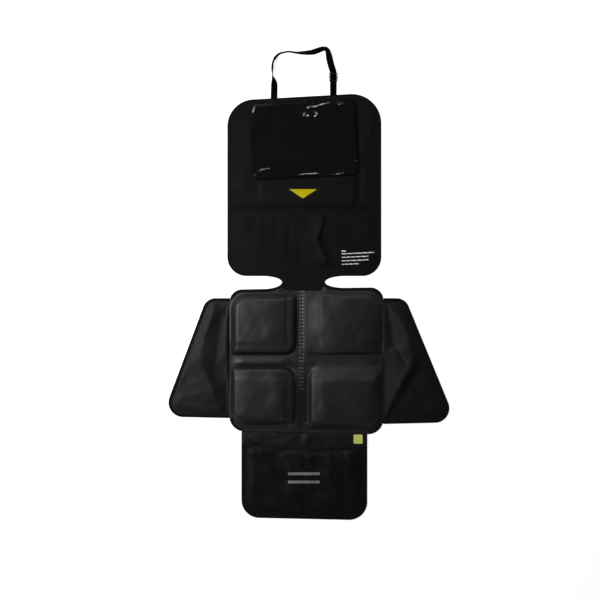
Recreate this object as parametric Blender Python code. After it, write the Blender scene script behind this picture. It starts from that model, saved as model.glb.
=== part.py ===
"""Car seat protector laid out flat: a back panel with a tablet window and a storage pocket,
a quilted seat cover over four foam pads, two side wings and a front flap, all edged with folded
tape, with a webbing loop for the headrest.

Metres. X runs across the seat, Y from the front flap to the headrest loop, Z up from the surface
that the protector lies on. The origin is on the underside of the seat section.
"""

import math

import bmesh
import bpy
from mathutils import Matrix, Vector
from mathutils.geometry import delaunay_2d_cdt

# Sheets, tape and clearance
CLOTH = 0.0012
TAPE = 0.0007
TAPE_WIDTH = 0.009
GAP = 0.0003
SEAM_WIDTH = 0.010
ARC_STEP = math.radians(15)
SMALL_RADIUS = 0.002

# Seat section, measured from the origin to each edge
SEAT_LEFT = 0.215
SEAT_RIGHT = 0.229
SEAT_BACK = 0.209
SEAT_FRONT = 0.2066
SEAT_BACK_SLANT = 0.0065
SEAT_FRONT_SLANT = 0.010
SEAT_BACK_CORNER = 0.038
SEAT_FRONT_CORNER = 0.045

# Foam pads under the seat cover
PAD_RISE = 0.015
PAD_CROWN = 0.005
PAD_CROWN_RUN = 0.070
PAD_ROLL = 0.020
PAD_ROLL_STEPS = (0.0, 0.14, 0.35, 0.65, 1.0)
PAD_SIDE_INSET = 0.0046
PAD_BACK_INSET = 0.0112
PAD_FRONT_INSET = 0.0145
PAD_OUTER_CORNER = 0.045
PAD_INNER_CORNER_BACK = 0.035
PAD_INNER_CORNER_FRONT = 0.045
PAD_PLAIN_CORNER = 0.010
FOAM_GAP = 0.0006
CHANNEL_LEFT = 0.020
CHANNEL_RIGHT = 0.0115
CROSS_CHANNEL = 0.032
CROSS_CHANNEL_Y = 0.0015
RIB_RISE = 0.003
RIB_STOP = 0.030
RIB_FADE = 0.93

# Neck between seat and back panel, with a round-ended notch on each side
NECK_LEFT = 0.0634
NECK_RIGHT = 0.0605
NOTCH_TIP_Y = 0.2270
NOTCH_REACH = 0.058
NOTCH_STEPS = 7
TONGUE_LEFT = 0.0557
TONGUE_RIGHT = 0.0460
TONGUE_SEAM_Y = 0.2028

# Back panel
BACK_LEFT = 0.2205
BACK_RIGHT = 0.2225
BACK_BOTTOM = 0.2447
BACK_TOP = 0.7613
BACK_TOP_SLANT = 0.0244
BACK_TOP_LEFT_CORNER = 0.078
BACK_TOP_RIGHT_CORNER = 0.085
BACK_BOTTOM_CORNER = 0.055

# Storage pocket over the lower part of the back panel
POCKET_MOUTH_Y = 0.4455
POCKET_HEM_WIDTH = 0.008
POCKET_GAPE_RUN = 0.030
POCKET_CREASE_RISE = 0.0035
POCKET_CREASE_FEET = (-0.016, 0.022)

# Padded band between the storage pocket and the tablet window
BAND_LEFT = 0.1325
BAND_RIGHT = 0.1526
BAND_CORNER = 0.023
BAND_TOP_CORNER = 0.004
BAND_RISE = 0.003
BAND_EDGE = 0.010
BAND_STEPS = ((0.0, 0.0), (0.45, 0.75), (1.0, 1.0))

# Clear tablet window, a shallow moulded box that hangs a little askew from the tape's inner edge
WINDOW_WIDTH = 0.309
WINDOW_HEIGHT = 0.2215
WINDOW_CENTRE_X = 0.0012
WINDOW_TOP_GAP = 0.0058
WINDOW_TILT = math.radians(2.6)
WINDOW_CORNER = 0.020
WINDOW_INNER_CORNER = 0.004
WINDOW_THICKNESS = 0.0008
WINDOW_RISE = 0.0085
WINDOW_SAG = 0.0012
WINDOW_FLANGE = 0.004
WINDOW_ROLL = 0.014
WINDOW_ROLL_STEPS = ((0.0, 0.0), (0.2, 0.5), (0.5, 0.88), (1.0, 1.0))

# Badge on the band, a little below its middle
BADGE_WIDTH = 0.081
BADGE_HEIGHT = 0.027
BADGE_CENTRE_X = -0.0028
BADGE_DROP = 0.0045
BADGE_THICKNESS = 0.0010
BADGE_POINT_RADIUS = 0.003
BADGE_CORNER = 0.0006

# Side wings: corners of the outer edge, and where they meet the seat
WING_TOP_Y = 0.1810
LEFT_WING_TOP_X = -0.2805
LEFT_WING_TIP = (-0.4081, -0.1598)
LEFT_WING_FOOT_Y = -0.1642
RIGHT_WING_TOP_X = 0.2917
RIGHT_WING_TIP = (0.4386, -0.1765)
RIGHT_WING_FOOT_Y = -0.1814
WING_TOP_CORNER = 0.038
WING_TIP_CORNER = 0.042
FOLD_RISE = 0.012
SEAM_FOLD_RISE = 0.006

# Front flap
FRONT_LEFT = 0.180
FRONT_RIGHT = 0.1823
FRONT_END = 0.4545
FRONT_END_SLANT = 0.008
FRONT_CORNER = 0.052
FRONT_BAND_DEPTH = 0.041
FRONT_BAND_RISE_AT_SIDES = 0.004
FRONT_BAND_DIP = 0.009
FRONT_BAND_STEPS = 8
FRONT_BAND_FOLD_RISE = 0.0025
FRONT_POCKET_RISE = 0.0015
TAG_SIZE = 0.0255
TAG_CENTRE_X = 0.1555
TAG_DROP = 0.0015
TAG_CORNER = 0.001
TAG_THICKNESS = 0.0008

# Webbing loop for the headrest and its slider
STRAP_WIDTH = 0.0190
STRAP_THICKNESS = 0.0012
STRAP_TUCK = 0.0075
STRAP_STEP_OFF = 0.006
STRAP_RUN = 0.020
STRAP_LEFT_X = -0.0860
STRAP_RIGHT_X = 0.0845
STRAP_LOOP_HEIGHT = 0.135
STRAP_SMOOTHNESS = 3
SLIDER_WIDTH = 0.0240
SLIDER_LENGTH = 0.0240
SLIDER_BAR = 0.003
SLIDER_BAR_GAP = 0.0008
SLIDER_THICKNESS = 0.0020
SLIDER_RISE = 0.05105
SLIDER_SIDE = 0.0018
SLIDER_CORNER = 0.002
SLIDER_SLOT_CORNER = 0.001

# Underside
BACKING_THICKNESS = 0.0007
BACKING_INSET = 0.0115
CUTTER_DEPTH = 0.100
CUTTER_HEIGHT = 0.020

# Levels of the stacked sheets, each over the last with the clearance between
PANEL_Z = TAPE + GAP
OVERLAY_Z = PANEL_Z + CLOTH + GAP
UPPER_Z = OVERLAY_Z + CLOTH + GAP
TRIM_Z = UPPER_Z + CLOTH + GAP
EDGE_INSET = TAPE + GAP
TAPE_INNER = TAPE_WIDTH + GAP

parts = None
helpers = None


def start_scene():
    """Clears the scene and makes the two collections."""
    global parts, helpers
    for obj in list(bpy.data.objects):
        bpy.data.objects.remove(obj)
    parts = bpy.data.collections.new("car_seat_protector")
    helpers = bpy.data.collections.new("helpers")
    bpy.context.scene.collection.children.link(parts)
    bpy.context.scene.collection.children.link(helpers)


def material(name, colour, roughness, alpha=1.0):
    """A Principled BSDF material with a flat colour."""
    made = bpy.data.materials.new(name)
    made.use_nodes = True
    shader = made.node_tree.nodes["Principled BSDF"]
    shader.inputs["Base Color"].default_value = (*colour, 1.0)
    shader.inputs["Roughness"].default_value = roughness
    shader.inputs["Metallic"].default_value = 0.0
    shader.inputs["Alpha"].default_value = alpha
    return made


def add_part(name, data, look):
    """Puts mesh or curve data in the scene as a named sub-part."""
    obj = bpy.data.objects.new(name, data)
    data.materials.append(look)
    parts.objects.link(obj)
    return obj


def add_helper(name, data):
    """A profile or cutter that isn't part of the object."""
    obj = bpy.data.objects.new(name, data)
    helpers.objects.link(obj)
    obj.hide_render = True
    if obj.type == "MESH":
        obj.display_type = "WIRE"
    return obj


# Outlines in the plane


def rounded(corners):
    """Counterclockwise outline from (x, y, radius) corners, with an arc at each one."""
    points = []
    for index, (x, y, radius) in enumerate(corners):
        spot = Vector((x, y))
        if radius <= 0.0:
            points.append(spot)
            continue
        before = (Vector(corners[index - 1][:2]) - spot).normalized()
        after = (Vector(corners[(index + 1) % len(corners)][:2]) - spot).normalized()
        half = before.angle(after) / 2
        centre = spot + (before + after).normalized() * radius / math.sin(half)
        start = spot + before * radius / math.tan(half) - centre
        turn = math.copysign(math.pi - 2 * half, after.cross(before))
        steps = max(1, math.ceil(abs(turn) / ARC_STEP))
        for step in range(steps + 1):
            points.append(centre + Matrix.Rotation(turn * step / steps, 2) @ start)
    return points


def quarter_notch(tip_x, side, edge_y):
    """Quarter ellipse from an edge at edge_y to the notch's tip, the tip last. side is -1 or 1."""
    centre = Vector((tip_x + side * NOTCH_REACH, NOTCH_TIP_Y))
    points = []
    for step in range(NOTCH_STEPS + 1):
        angle = math.pi / 2 * step / NOTCH_STEPS
        across = -side * NOTCH_REACH * math.sin(angle)
        along = (edge_y - NOTCH_TIP_Y) * math.cos(angle)
        points.append(centre + Vector((across, along)))
    return points


def inset(outline, distance):
    """The closed counterclockwise outline moved inward by the distance."""
    moved = []
    for index, point in enumerate(outline):
        along_in = (point - outline[index - 1]).normalized()
        along_out = (outline[(index + 1) % len(outline)] - point).normalized()
        mean = (along_in + along_out).normalized()
        inward = Vector((-mean.y, mean.x))
        moved.append(point + inward * distance / max(0.3, mean.dot(along_in)))
    return moved


def stretch(outline, keep):
    """The open run of a closed outline where keep(point) is positive, cut exactly at its ends."""
    count = len(outline)
    signs = [keep(point) > 0 for point in outline]
    first = next(i for i in range(count) if signs[i] and not signs[i - 1])
    run = [crossing(outline[first - 1], outline[first], keep)]
    index = first
    while signs[index % count]:
        run.append(outline[index % count])
        index += 1
    run.append(crossing(outline[index % count - 1], outline[index % count], keep))
    return run


def crossing(start, end, keep):
    """Where keep changes sign between two points, by halving."""
    rising = keep(end) > 0
    low, high = (start, end) if rising else (end, start)
    for _ in range(30):
        middle = (low + high) / 2
        if keep(middle) > 0:
            high = middle
        else:
            low = middle
    return high


def is_inside(point, outline):
    """Even-odd test of a point against a closed outline."""
    found = False
    for index, end in enumerate(outline):
        start = outline[index - 1]
        if (start.y > point.y) != (end.y > point.y):
            reach = (point.y - start.y) / (end.y - start.y)
            if point.x < start.x + reach * (end.x - start.x):
                found = not found
    return found


def edge_distance(point, outline):
    """Distance from a point to the nearest side of a closed outline."""
    nearest = math.inf
    for index, end in enumerate(outline):
        start = outline[index - 1]
        side = end - start
        share = (point - start).dot(side) / max(side.length_squared, 1e-12)
        spot = start + side * min(1.0, max(0.0, share))
        nearest = min(nearest, (point - spot).length)
    return nearest


# Solids from outlines


def finish_mesh(bm, name, look, smooth_angle=40.0):
    """Turns a closed bmesh into a part, shaded smooth except at sharp edges."""
    bmesh.ops.recalc_face_normals(bm, faces=bm.faces[:])
    mesh = bpy.data.meshes.new(name)
    bm.to_mesh(mesh)
    bm.free()
    mesh.shade_smooth()
    mesh.set_sharp_from_angle(angle=math.radians(smooth_angle))
    return add_part(name, mesh, look)


def flat(point):
    """Height of a sheet with no relief."""
    return 0.0


def sheet(name, look, outline, level, rings=(), folds=(), spots=(), height=flat,
          thickness=CLOTH, floor=None):
    """A sheet over an outline. rings are closed and folds open lines that its faces follow.

    Points are 2D, with their height from the function, or 3D with their own height. With a
    floor the underside is flat at that level, which makes a cushion.
    """
    lines = [(ring, True) for ring in (outline, *rings)] + [(fold, False) for fold in folds]
    points = []
    edges = []
    for line, is_closed in lines:
        first = len(points)
        points.extend(line)
        edges.extend((first + i, first + i + 1) for i in range(len(line) - 1))
        if is_closed:
            edges.append((len(points) - 1, first))
    points.extend(spots)
    plan = [Vector(point[:2]) for point in points]
    border = list(range(len(outline)))
    corners, _, faces, origins, _, _ = delaunay_2d_cdt(plan, edges, [border], 1, 1e-6)
    bm = bmesh.new()
    for corner, origin in zip(corners, origins):
        own = [points[i][2] for i in origin if len(points[i]) == 3]
        rise = own[0] if own else height(corner)
        bm.verts.new((corner.x, corner.y, level + rise))
    bm.verts.ensure_lookup_table()
    for face in faces:
        bm.faces.new([bm.verts[i] for i in face])
    made = bmesh.ops.extrude_face_region(bm, geom=bm.faces[:])
    upper = [item for item in made["geom"] if isinstance(item, bmesh.types.BMVert)]
    if floor is None:
        bmesh.ops.translate(bm, verts=upper, vec=(0, 0, thickness))
    else:
        for vertex in set(bm.verts) - set(upper):
            vertex.co.z = floor
    return finish_mesh(bm, name, look)


def plate(name, look, outline, level, thickness, holes=()):
    """A flat piece: a filled 2D curve with an extrusion, and holes where the inner curves are."""
    curve = bpy.data.curves.new(name, "CURVE")
    curve.dimensions = "2D"
    curve.fill_mode = "BOTH"
    curve.extrude = thickness / 2
    for line in (outline, *holes):
        spline = curve.splines.new("POLY")
        spline.points.add(len(line) - 1)
        for spot, point in zip(spline.points, line):
            spot.co = (point[0], point[1], 0, 1)
        spline.use_cyclic_u = True
    obj = add_part(name, curve, look)
    obj.location.z = level + thickness / 2
    return as_mesh(obj)


def as_mesh(obj):
    """Replaces a curve object by the mesh that it makes, with its caps welded."""
    bpy.context.view_layer.update()
    graph = bpy.context.evaluated_depsgraph_get()
    mesh = bpy.data.meshes.new_from_object(obj.evaluated_get(graph))
    bm = bmesh.new()
    bm.from_mesh(mesh)
    bmesh.ops.remove_doubles(bm, verts=bm.verts[:], dist=1e-6)
    bmesh.ops.recalc_face_normals(bm, faces=bm.faces[:])
    bm.to_mesh(mesh)
    bm.free()
    mesh.shade_smooth()
    mesh.set_sharp_from_angle(angle=math.radians(40))
    name = obj.name
    solid = bpy.data.objects.new(name, mesh)
    solid.matrix_world = obj.matrix_world
    bpy.data.objects.remove(obj)
    parts.objects.link(solid)
    solid.name = name
    return solid


def swept(name, look, path, profile, leans=None, smoothness=0):
    """A profile object swept along a path of 3D points: straight between them, or smooth."""
    curve = bpy.data.curves.new(name, "CURVE")
    curve.dimensions = "3D"
    curve.twist_mode = "Z_UP"
    curve.bevel_mode = "OBJECT"
    curve.bevel_object = profile
    curve.use_fill_caps = True
    if smoothness:
        spline = curve.splines.new("BEZIER")
        spline.bezier_points.add(len(path) - 1)
        for spot, point, lean in zip(spline.bezier_points, path, leans):
            spot.co = point
            spot.tilt = lean
            spot.handle_left_type = "AUTO"
            spot.handle_right_type = "AUTO"
        curve.resolution_u = smoothness
    else:
        spline = curve.splines.new("POLY")
        spline.points.add(len(path) - 1)
        for spot, point in zip(spline.points, path):
            spot.co = (*point, 1)
    return as_mesh(add_part(name, curve, look))


def profile_curve(name, outline):
    """A closed profile for swept pieces, from (inward, up) points."""
    curve = bpy.data.curves.new(name, "CURVE")
    curve.dimensions = "2D"
    spline = curve.splines.new("POLY")
    spline.points.add(len(outline) - 1)
    for spot, (inward, up) in zip(spline.points, outline):
        spot.co = (-inward, up, 0, 1)
    spline.use_cyclic_u = True
    return add_helper(name, curve)


def tape_profile(name, slot_top, width=TAPE_WIDTH):
    """U section of a folded tape: its lower leg, and its upper leg over the sheets it holds."""
    return profile_curve(name, [
        (0, 0),
        (width, 0),
        (width, TAPE),
        (TAPE, TAPE),
        (TAPE, slot_top),
        (width, slot_top),
        (width, slot_top + TAPE),
        (0, slot_top + TAPE),
    ])


def cut(obj, cutter):
    """Takes the cutter's shape out of a part."""
    modifier = obj.modifiers.new(cutter.name, "BOOLEAN")
    modifier.operation = "DIFFERENCE"
    modifier.solver = "EXACT"
    modifier.object = cutter


def box_cutter(name, centre, size, turn=0.0):
    """A box that cuts, turned about Z."""
    bpy.ops.mesh.primitive_cube_add(size=1.0)
    made = bpy.context.object
    mesh = made.data
    bpy.data.objects.remove(made)
    mesh.transform(Matrix.Diagonal((*size, 1.0)))
    cutter = add_helper(name, mesh)
    cutter.location = centre
    cutter.rotation_euler.z = turn
    return cutter


# Outlines of the panels


def seat_back_y(x):
    """The seat's back edge, which lies a little askew."""
    return SEAT_BACK + SEAT_BACK_SLANT * x / (SEAT_LEFT + SEAT_RIGHT)


def seat_front_y(x):
    """The seat's front edge, which lies a little askew."""
    return -SEAT_FRONT - SEAT_FRONT_SLANT * x / (SEAT_LEFT + SEAT_RIGHT)


def back_top_y(x):
    """The back panel's top edge, which rises to the right."""
    return BACK_TOP + BACK_TOP_SLANT * x / (BACK_LEFT + BACK_RIGHT)


def seat_block():
    """The seat's outline without its shoulders."""
    return rounded([
        (-SEAT_LEFT, seat_front_y(-SEAT_LEFT), SEAT_FRONT_CORNER),
        (SEAT_RIGHT, seat_front_y(SEAT_RIGHT), SEAT_FRONT_CORNER),
        (SEAT_RIGHT, seat_back_y(SEAT_RIGHT), SEAT_BACK_CORNER),
        (-SEAT_LEFT, seat_back_y(-SEAT_LEFT), SEAT_BACK_CORNER),
    ])


def seat_outline():
    """Seat section with the shoulders that rise to the neck, closed straight across it."""
    corners = seat_block()
    right = quarter_notch(NECK_RIGHT, 1, seat_back_y(NECK_RIGHT + NOTCH_REACH))
    left = quarter_notch(-NECK_LEFT, -1, seat_back_y(-NECK_LEFT - NOTCH_REACH))
    split = next(i for i, point in enumerate(corners) if point.y > 0 and point.x < 0)
    return corners[:split] + right + left[::-1] + corners[split:]


def back_outline():
    """Back panel with its tongue, which runs down to the seat's seam."""
    corners = rounded([
        (-BACK_LEFT, BACK_BOTTOM, BACK_BOTTOM_CORNER),
        (BACK_RIGHT, BACK_BOTTOM, BACK_BOTTOM_CORNER),
        (BACK_RIGHT, back_top_y(BACK_RIGHT), BACK_TOP_RIGHT_CORNER),
        (-BACK_LEFT, back_top_y(-BACK_LEFT), BACK_TOP_LEFT_CORNER),
    ])
    left = quarter_notch(-NECK_LEFT, -1, BACK_BOTTOM)
    right = quarter_notch(NECK_RIGHT, 1, BACK_BOTTOM)
    split = next(i for i, point in enumerate(corners) if point.x > 0)
    foot = TONGUE_SEAM_Y - SEAM_WIDTH
    tongue = [Vector((-NECK_LEFT, foot)), Vector((NECK_RIGHT, foot))]
    return corners[:split] + left + tongue + right[::-1] + corners[split:]


def wing_outline(top_x, tip, foot_y, edge_x):
    """Wing from its seam with the seat to its outer edge. edge_x is the seat's edge."""
    hidden_x = edge_x - math.copysign(SEAM_WIDTH, edge_x)
    corners = [
        (hidden_x, foot_y, 0),
        (hidden_x, WING_TOP_Y, 0),
        (top_x, WING_TOP_Y, WING_TOP_CORNER),
        (*tip, WING_TIP_CORNER),
        (edge_x, foot_y, 0),
    ]
    return rounded(corners if edge_x < 0 else corners[::-1])


def front_outline():
    """Front flap from its seam with the seat to its end."""
    left_end = -FRONT_END + FRONT_END_SLANT / 2
    right_end = -FRONT_END - FRONT_END_SLANT / 2
    return rounded([
        (-FRONT_LEFT, left_end, FRONT_CORNER),
        (FRONT_RIGHT, right_end, FRONT_CORNER),
        (FRONT_RIGHT, seat_front_y(FRONT_RIGHT) + SEAM_WIDTH, 0),
        (-FRONT_LEFT, seat_front_y(-FRONT_LEFT) + SEAM_WIDTH, 0),
    ])


# Seat section


def pad_corners(is_left, is_back, shrink=0.0):
    """The four (x, y, radius) corners of one pad, moved inward by shrink."""
    left = -SEAT_LEFT + PAD_SIDE_INSET if is_left else CHANNEL_RIGHT
    right = -CHANNEL_LEFT if is_left else SEAT_RIGHT - PAD_SIDE_INSET
    outer_x = left if is_left else right
    if is_back:
        low = CROSS_CHANNEL_Y + CROSS_CHANNEL / 2
        high = seat_back_y(outer_x) - PAD_BACK_INSET
    else:
        low = seat_front_y(outer_x) + PAD_FRONT_INSET
        high = CROSS_CHANNEL_Y - CROSS_CHANNEL / 2
    corners = []
    for x, y in ((left, low), (right, low), (right, high), (left, high)):
        faces_side = (x == left) == is_left
        faces_end = (y == high) == is_back
        if faces_side and faces_end:
            radius = PAD_OUTER_CORNER
        elif faces_side or faces_end:
            radius = PAD_PLAIN_CORNER
        else:
            radius = PAD_INNER_CORNER_BACK if is_back else PAD_INNER_CORNER_FRONT
        across = shrink if x == left else -shrink
        along = shrink if y == low else -shrink
        corners.append((x + across, y + along, max(SMALL_RADIUS, radius - shrink)))
    return corners


def pad_lift(depth):
    """Height of a pad's top over the flat border, at a depth inside its outline."""
    if depth <= 0:
        return 0.0
    roll = PAD_RISE * (1 - (1 - min(1.0, depth / PAD_ROLL)) ** 2.5)
    crown = min(1.0, max(0.0, (depth - PAD_ROLL * 0.6) / PAD_CROWN_RUN))
    return roll + PAD_CROWN * crown * crown * (3 - 2 * crown)


class Pads:
    """The four pads' outlines, and the height of the cover over them."""

    places = {
        "back_left": (True, True),
        "back_right": (False, True),
        "front_left": (True, False),
        "front_right": (False, False),
    }

    def __init__(self):
        self.outlines = {
            name: rounded(pad_corners(*place)) for name, place in self.places.items()
        }

    def height(self, point):
        for outline in self.outlines.values():
            if is_inside(point, outline):
                return pad_lift(edge_distance(point, outline))
        return 0.0

    def rings(self, name, first=0):
        """Closed lines at each step of the pad's rolled edge."""
        place = self.places[name]
        steps = PAD_ROLL_STEPS[first:]
        return [rounded(pad_corners(*place, shrink=step * PAD_ROLL)) for step in steps]

    def spots(self, name):
        """A few points on the pad's crown."""
        core = self.rings(name)[-1]
        left = min(point.x for point in core)
        right = max(point.x for point in core)
        low = min(point.y for point in core)
        high = max(point.y for point in core)
        found = []
        for across in (0.25, 0.5, 0.75):
            for along in (0.25, 0.5, 0.75):
                x = left + across * (right - left)
                y = low + along * (high - low)
                found.append(Vector((x, y)))
        return found


def rib_lines():
    """Crest of the cross channel's soft rib, left and right of the middle, with its feet."""
    crest = CROSS_CHANNEL_Y
    lines = []
    for outer, inner in (
        (-SEAT_LEFT + SEAM_WIDTH, -CHANNEL_LEFT - RIB_STOP),
        (SEAT_RIGHT - SEAM_WIDTH, CHANNEL_RIGHT + RIB_STOP),
    ):
        lines.append([
            Vector((outer, crest, 0.0)),
            Vector((outer * RIB_FADE, crest, RIB_RISE)),
            Vector((inner, crest, RIB_RISE)),
            Vector((inner * 0.5, crest, 0.0)),
        ])
    return lines


def cover_outline(whole):
    """The seat cover: the seat's outline inside its tape, down to the seam over the tongue."""
    inner = inset(whole, EDGE_INSET)
    body = [point for point in inner if not is_neck_line(point)]
    split = next(i for i, point in enumerate(body) if point.y > SEAT_BACK - SEAT_BACK_CORNER
                 and point.x < 0)
    seam = [Vector((TONGUE_RIGHT, TONGUE_SEAM_Y)), Vector((-TONGUE_LEFT, TONGUE_SEAM_Y))]
    return body[:split] + seam + body[split:]


def is_neck_line(point):
    """True for the tips, where the outline crosses the neck."""
    return point.y > NOTCH_TIP_Y - 2.5 * EDGE_INSET


def build_seat(looks):
    whole = seat_outline()
    pads = Pads()
    rings = [ring for name in pads.places for ring in pads.rings(name)]
    spots = [spot for name in pads.places for spot in pads.spots(name)]
    sheet("seat_cover", looks["leather"], cover_outline(whole), OVERLAY_Z, rings=rings,
          folds=rib_lines(), spots=spots, height=pads.height)
    for name in pads.places:
        outline, *inner = pads.rings(name, first=1)
        sheet(f"foam_pad_{name}", looks["foam"], outline, OVERLAY_Z - FOAM_GAP, rings=inner,
              spots=pads.spots(name), height=pads.height, floor=OVERLAY_Z)
    base = plate("seat_base", looks["lining"], inset(whole, EDGE_INSET), PANEL_Z, CLOTH)
    for cutter in seam_cutters():
        cut(base, cutter)
    backing = inset(seat_block(), BACKING_INSET)
    plate("grip_backing", looks["grip"], backing, 0.0, BACKING_THICKNESS)
    build_seat_tapes(whole, looks["tape"])


def seam_cutters():
    """Where the seat's base makes way for the borders of the panels sewn to it."""
    reach = SEAM_WIDTH + GAP
    deep = CUTTER_DEPTH
    tall = CUTTER_HEIGHT
    cutters = []
    for side, edge, foot in ((-1, -SEAT_LEFT, LEFT_WING_FOOT_Y), (1, SEAT_RIGHT, RIGHT_WING_FOOT_Y)):
        centre = (edge + side * (deep / 2 - reach), (WING_TOP_Y + foot) / 2, PANEL_Z)
        name = "left_wing_cutter" if side < 0 else "right_wing_cutter"
        cutters.append(box_cutter(name, centre, (deep, WING_TOP_Y - foot, tall)))
    neck_mid = (NECK_RIGHT - NECK_LEFT) / 2
    neck_y = TONGUE_SEAM_Y - reach + deep / 2
    cutters.append(box_cutter("neck_cutter", (neck_mid, neck_y, PANEL_Z),
                              (NECK_LEFT + NECK_RIGHT, deep, tall)))
    turn = math.atan2(-SEAT_FRONT_SLANT, SEAT_LEFT + SEAT_RIGHT)
    front_mid = (FRONT_RIGHT - FRONT_LEFT) / 2
    front_edge = Vector((front_mid, seat_front_y(front_mid) + reach))
    front_centre = front_edge + Matrix.Rotation(turn, 2) @ Vector((0, -deep / 2))
    cutters.append(box_cutter("front_cutter", (*front_centre, PANEL_Z),
                              (FRONT_LEFT + FRONT_RIGHT, deep, tall), turn))
    return cutters


def build_seat_tapes(whole, look):
    """Tapes at the four corners, over the base and the cover, between the sewn-on panels."""
    profile = tape_profile("seat_tape_profile", UPPER_Z)
    tip = NOTCH_TIP_Y - GAP / 2
    wing_top = WING_TOP_Y + GAP

    def run(name, keep):
        path = stretch(whole, keep)
        swept(name, look, [(*point, 0.0) for point in path], profile)

    run("seat_tape_back_left",
        lambda p: min(p.y - wing_top, tip - p.y, -p.x))
    run("seat_tape_back_right",
        lambda p: min(p.y - wing_top, tip - p.y, p.x))
    run("seat_tape_front_left",
        lambda p: min(LEFT_WING_FOOT_Y - GAP - p.y, -FRONT_LEFT - GAP - p.x))
    run("seat_tape_front_right",
        lambda p: min(RIGHT_WING_FOOT_Y - GAP - p.y, p.x - FRONT_RIGHT - GAP))


# Back panel


def build_back(looks):
    outline = back_outline()
    panel = sheet("back_panel", looks["fabric"], inset(outline, EDGE_INSET), PANEL_Z)
    profile = tape_profile("panel_tape_profile", OVERLAY_Z)
    path = stretch(outline, lambda p: p.y - NOTCH_TIP_Y - GAP / 2)
    tape = swept("back_tape", looks["tape"], [(*point, 0.0) for point in path], profile)
    for name, x in (("left_strap_cutter", STRAP_LEFT_X), ("right_strap_cutter", STRAP_RIGHT_X)):
        centre = (x, back_top_y(x), PANEL_Z + STRAP_THICKNESS / 2)
        size = (STRAP_WIDTH + 2 * GAP, 2 * (STRAP_TUCK + GAP), STRAP_THICKNESS + GAP)
        slot = box_cutter(name, centre, size)
        cut(panel, slot)
        cut(tape, slot)
    build_storage_pocket(looks)
    build_tablet_band(looks)
    build_window(looks)
    return profile


def build_storage_pocket(looks):
    """Full-width pocket inside the panel's tape, its mouth held open a little by the hem."""
    left = -BACK_LEFT + TAPE_INNER
    right = BACK_RIGHT - TAPE_INNER
    low = BACK_BOTTOM + TAPE_INNER
    mouth = POCKET_MOUTH_Y - EDGE_INSET
    corner = BACK_BOTTOM_CORNER - TAPE_INNER
    gape = TAPE + GAP
    hem_y = POCKET_MOUTH_Y - POCKET_HEM_WIDTH - GAP
    foot_y = hem_y - POCKET_GAPE_RUN
    outline = rounded([(left, low, corner), (right, low, corner), (right, mouth, 0), (left, mouth, 0)])
    sides = [(left, foot_y, 0.0), (left, hem_y, gape)]
    outline = [Vector((*p, gape if p.y > hem_y else 0.0)) for p in outline]
    outline += [Vector(point) for point in sides[::-1]]
    split = next(i for i, p in enumerate(outline) if p.y > hem_y)
    outline[split:split] = [Vector((right, foot_y, 0.0)), Vector((right, hem_y, gape))]
    folds = [
        [Vector((left, hem_y, gape)), Vector((right, hem_y, gape))],
        [Vector((left, foot_y, 0.0)), Vector((right, foot_y, 0.0))],
    ]
    crease = [
        Vector((left + across * (right - left), mouth + down * (low - mouth), rise * POCKET_CREASE_RISE))
        for across, down, rise in ((0.615, 0.316, 0.3), (0.585, 0.499, 1.0), (0.620, 0.645, 1.0),
                                   (0.646, 0.781, 0.8), (0.641, 0.927, 0.0))
    ]
    feet = [[Vector((x + side, y, 0.0)) for x, y, _ in crease] for side in POCKET_CREASE_FEET]
    sheet("storage_pocket", looks["fabric"], outline, OVERLAY_Z, folds=[*folds, crease, *feet])
    hem = tape_profile("hem_profile", UPPER_Z + gape - OVERLAY_Z, POCKET_HEM_WIDTH)
    path = [(right, POCKET_MOUTH_Y, OVERLAY_Z), (left, POCKET_MOUTH_Y, OVERLAY_Z)]
    swept("storage_pocket_hem", looks["tape"], path, hem)


def window_corner(across, along):
    """A point of the window from its own centre, in its tilted directions."""
    top = back_top_y(WINDOW_CENTRE_X) - TAPE_WIDTH - WINDOW_TOP_GAP
    centre = Vector((WINDOW_CENTRE_X, top - WINDOW_HEIGHT / 2))
    return centre + Matrix.Rotation(WINDOW_TILT, 2) @ Vector((across, along))


def window_ring(shrink):
    """The window's rounded outline moved inward."""
    across = WINDOW_WIDTH / 2 - shrink
    along = WINDOW_HEIGHT / 2 - shrink
    radius = max(WINDOW_INNER_CORNER, WINDOW_CORNER - shrink)
    spots = ((-across, -along), (across, -along), (across, along), (-across, along))
    return rounded([(*window_corner(*spot), radius) for spot in spots])


def build_window(looks):
    """Clear shell: a flange on the panel, rolled walls and a face that sags a little."""
    outline = window_ring(0.0)
    rings = [
        [Vector((*point, rise * WINDOW_RISE)) for point in window_ring(WINDOW_FLANGE + run * WINDOW_ROLL)]
        for run, rise in WINDOW_ROLL_STEPS
    ]
    middle = [
        Vector((*window_corner(across * WINDOW_WIDTH, along * WINDOW_HEIGHT), WINDOW_RISE - WINDOW_SAG))
        for across in (-0.2, 0.2) for along in (-0.15, 0.15)
    ]
    sheet("tablet_window", looks["clear"], outline, OVERLAY_Z, rings=rings, spots=middle,
          thickness=WINDOW_THICKNESS)


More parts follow.
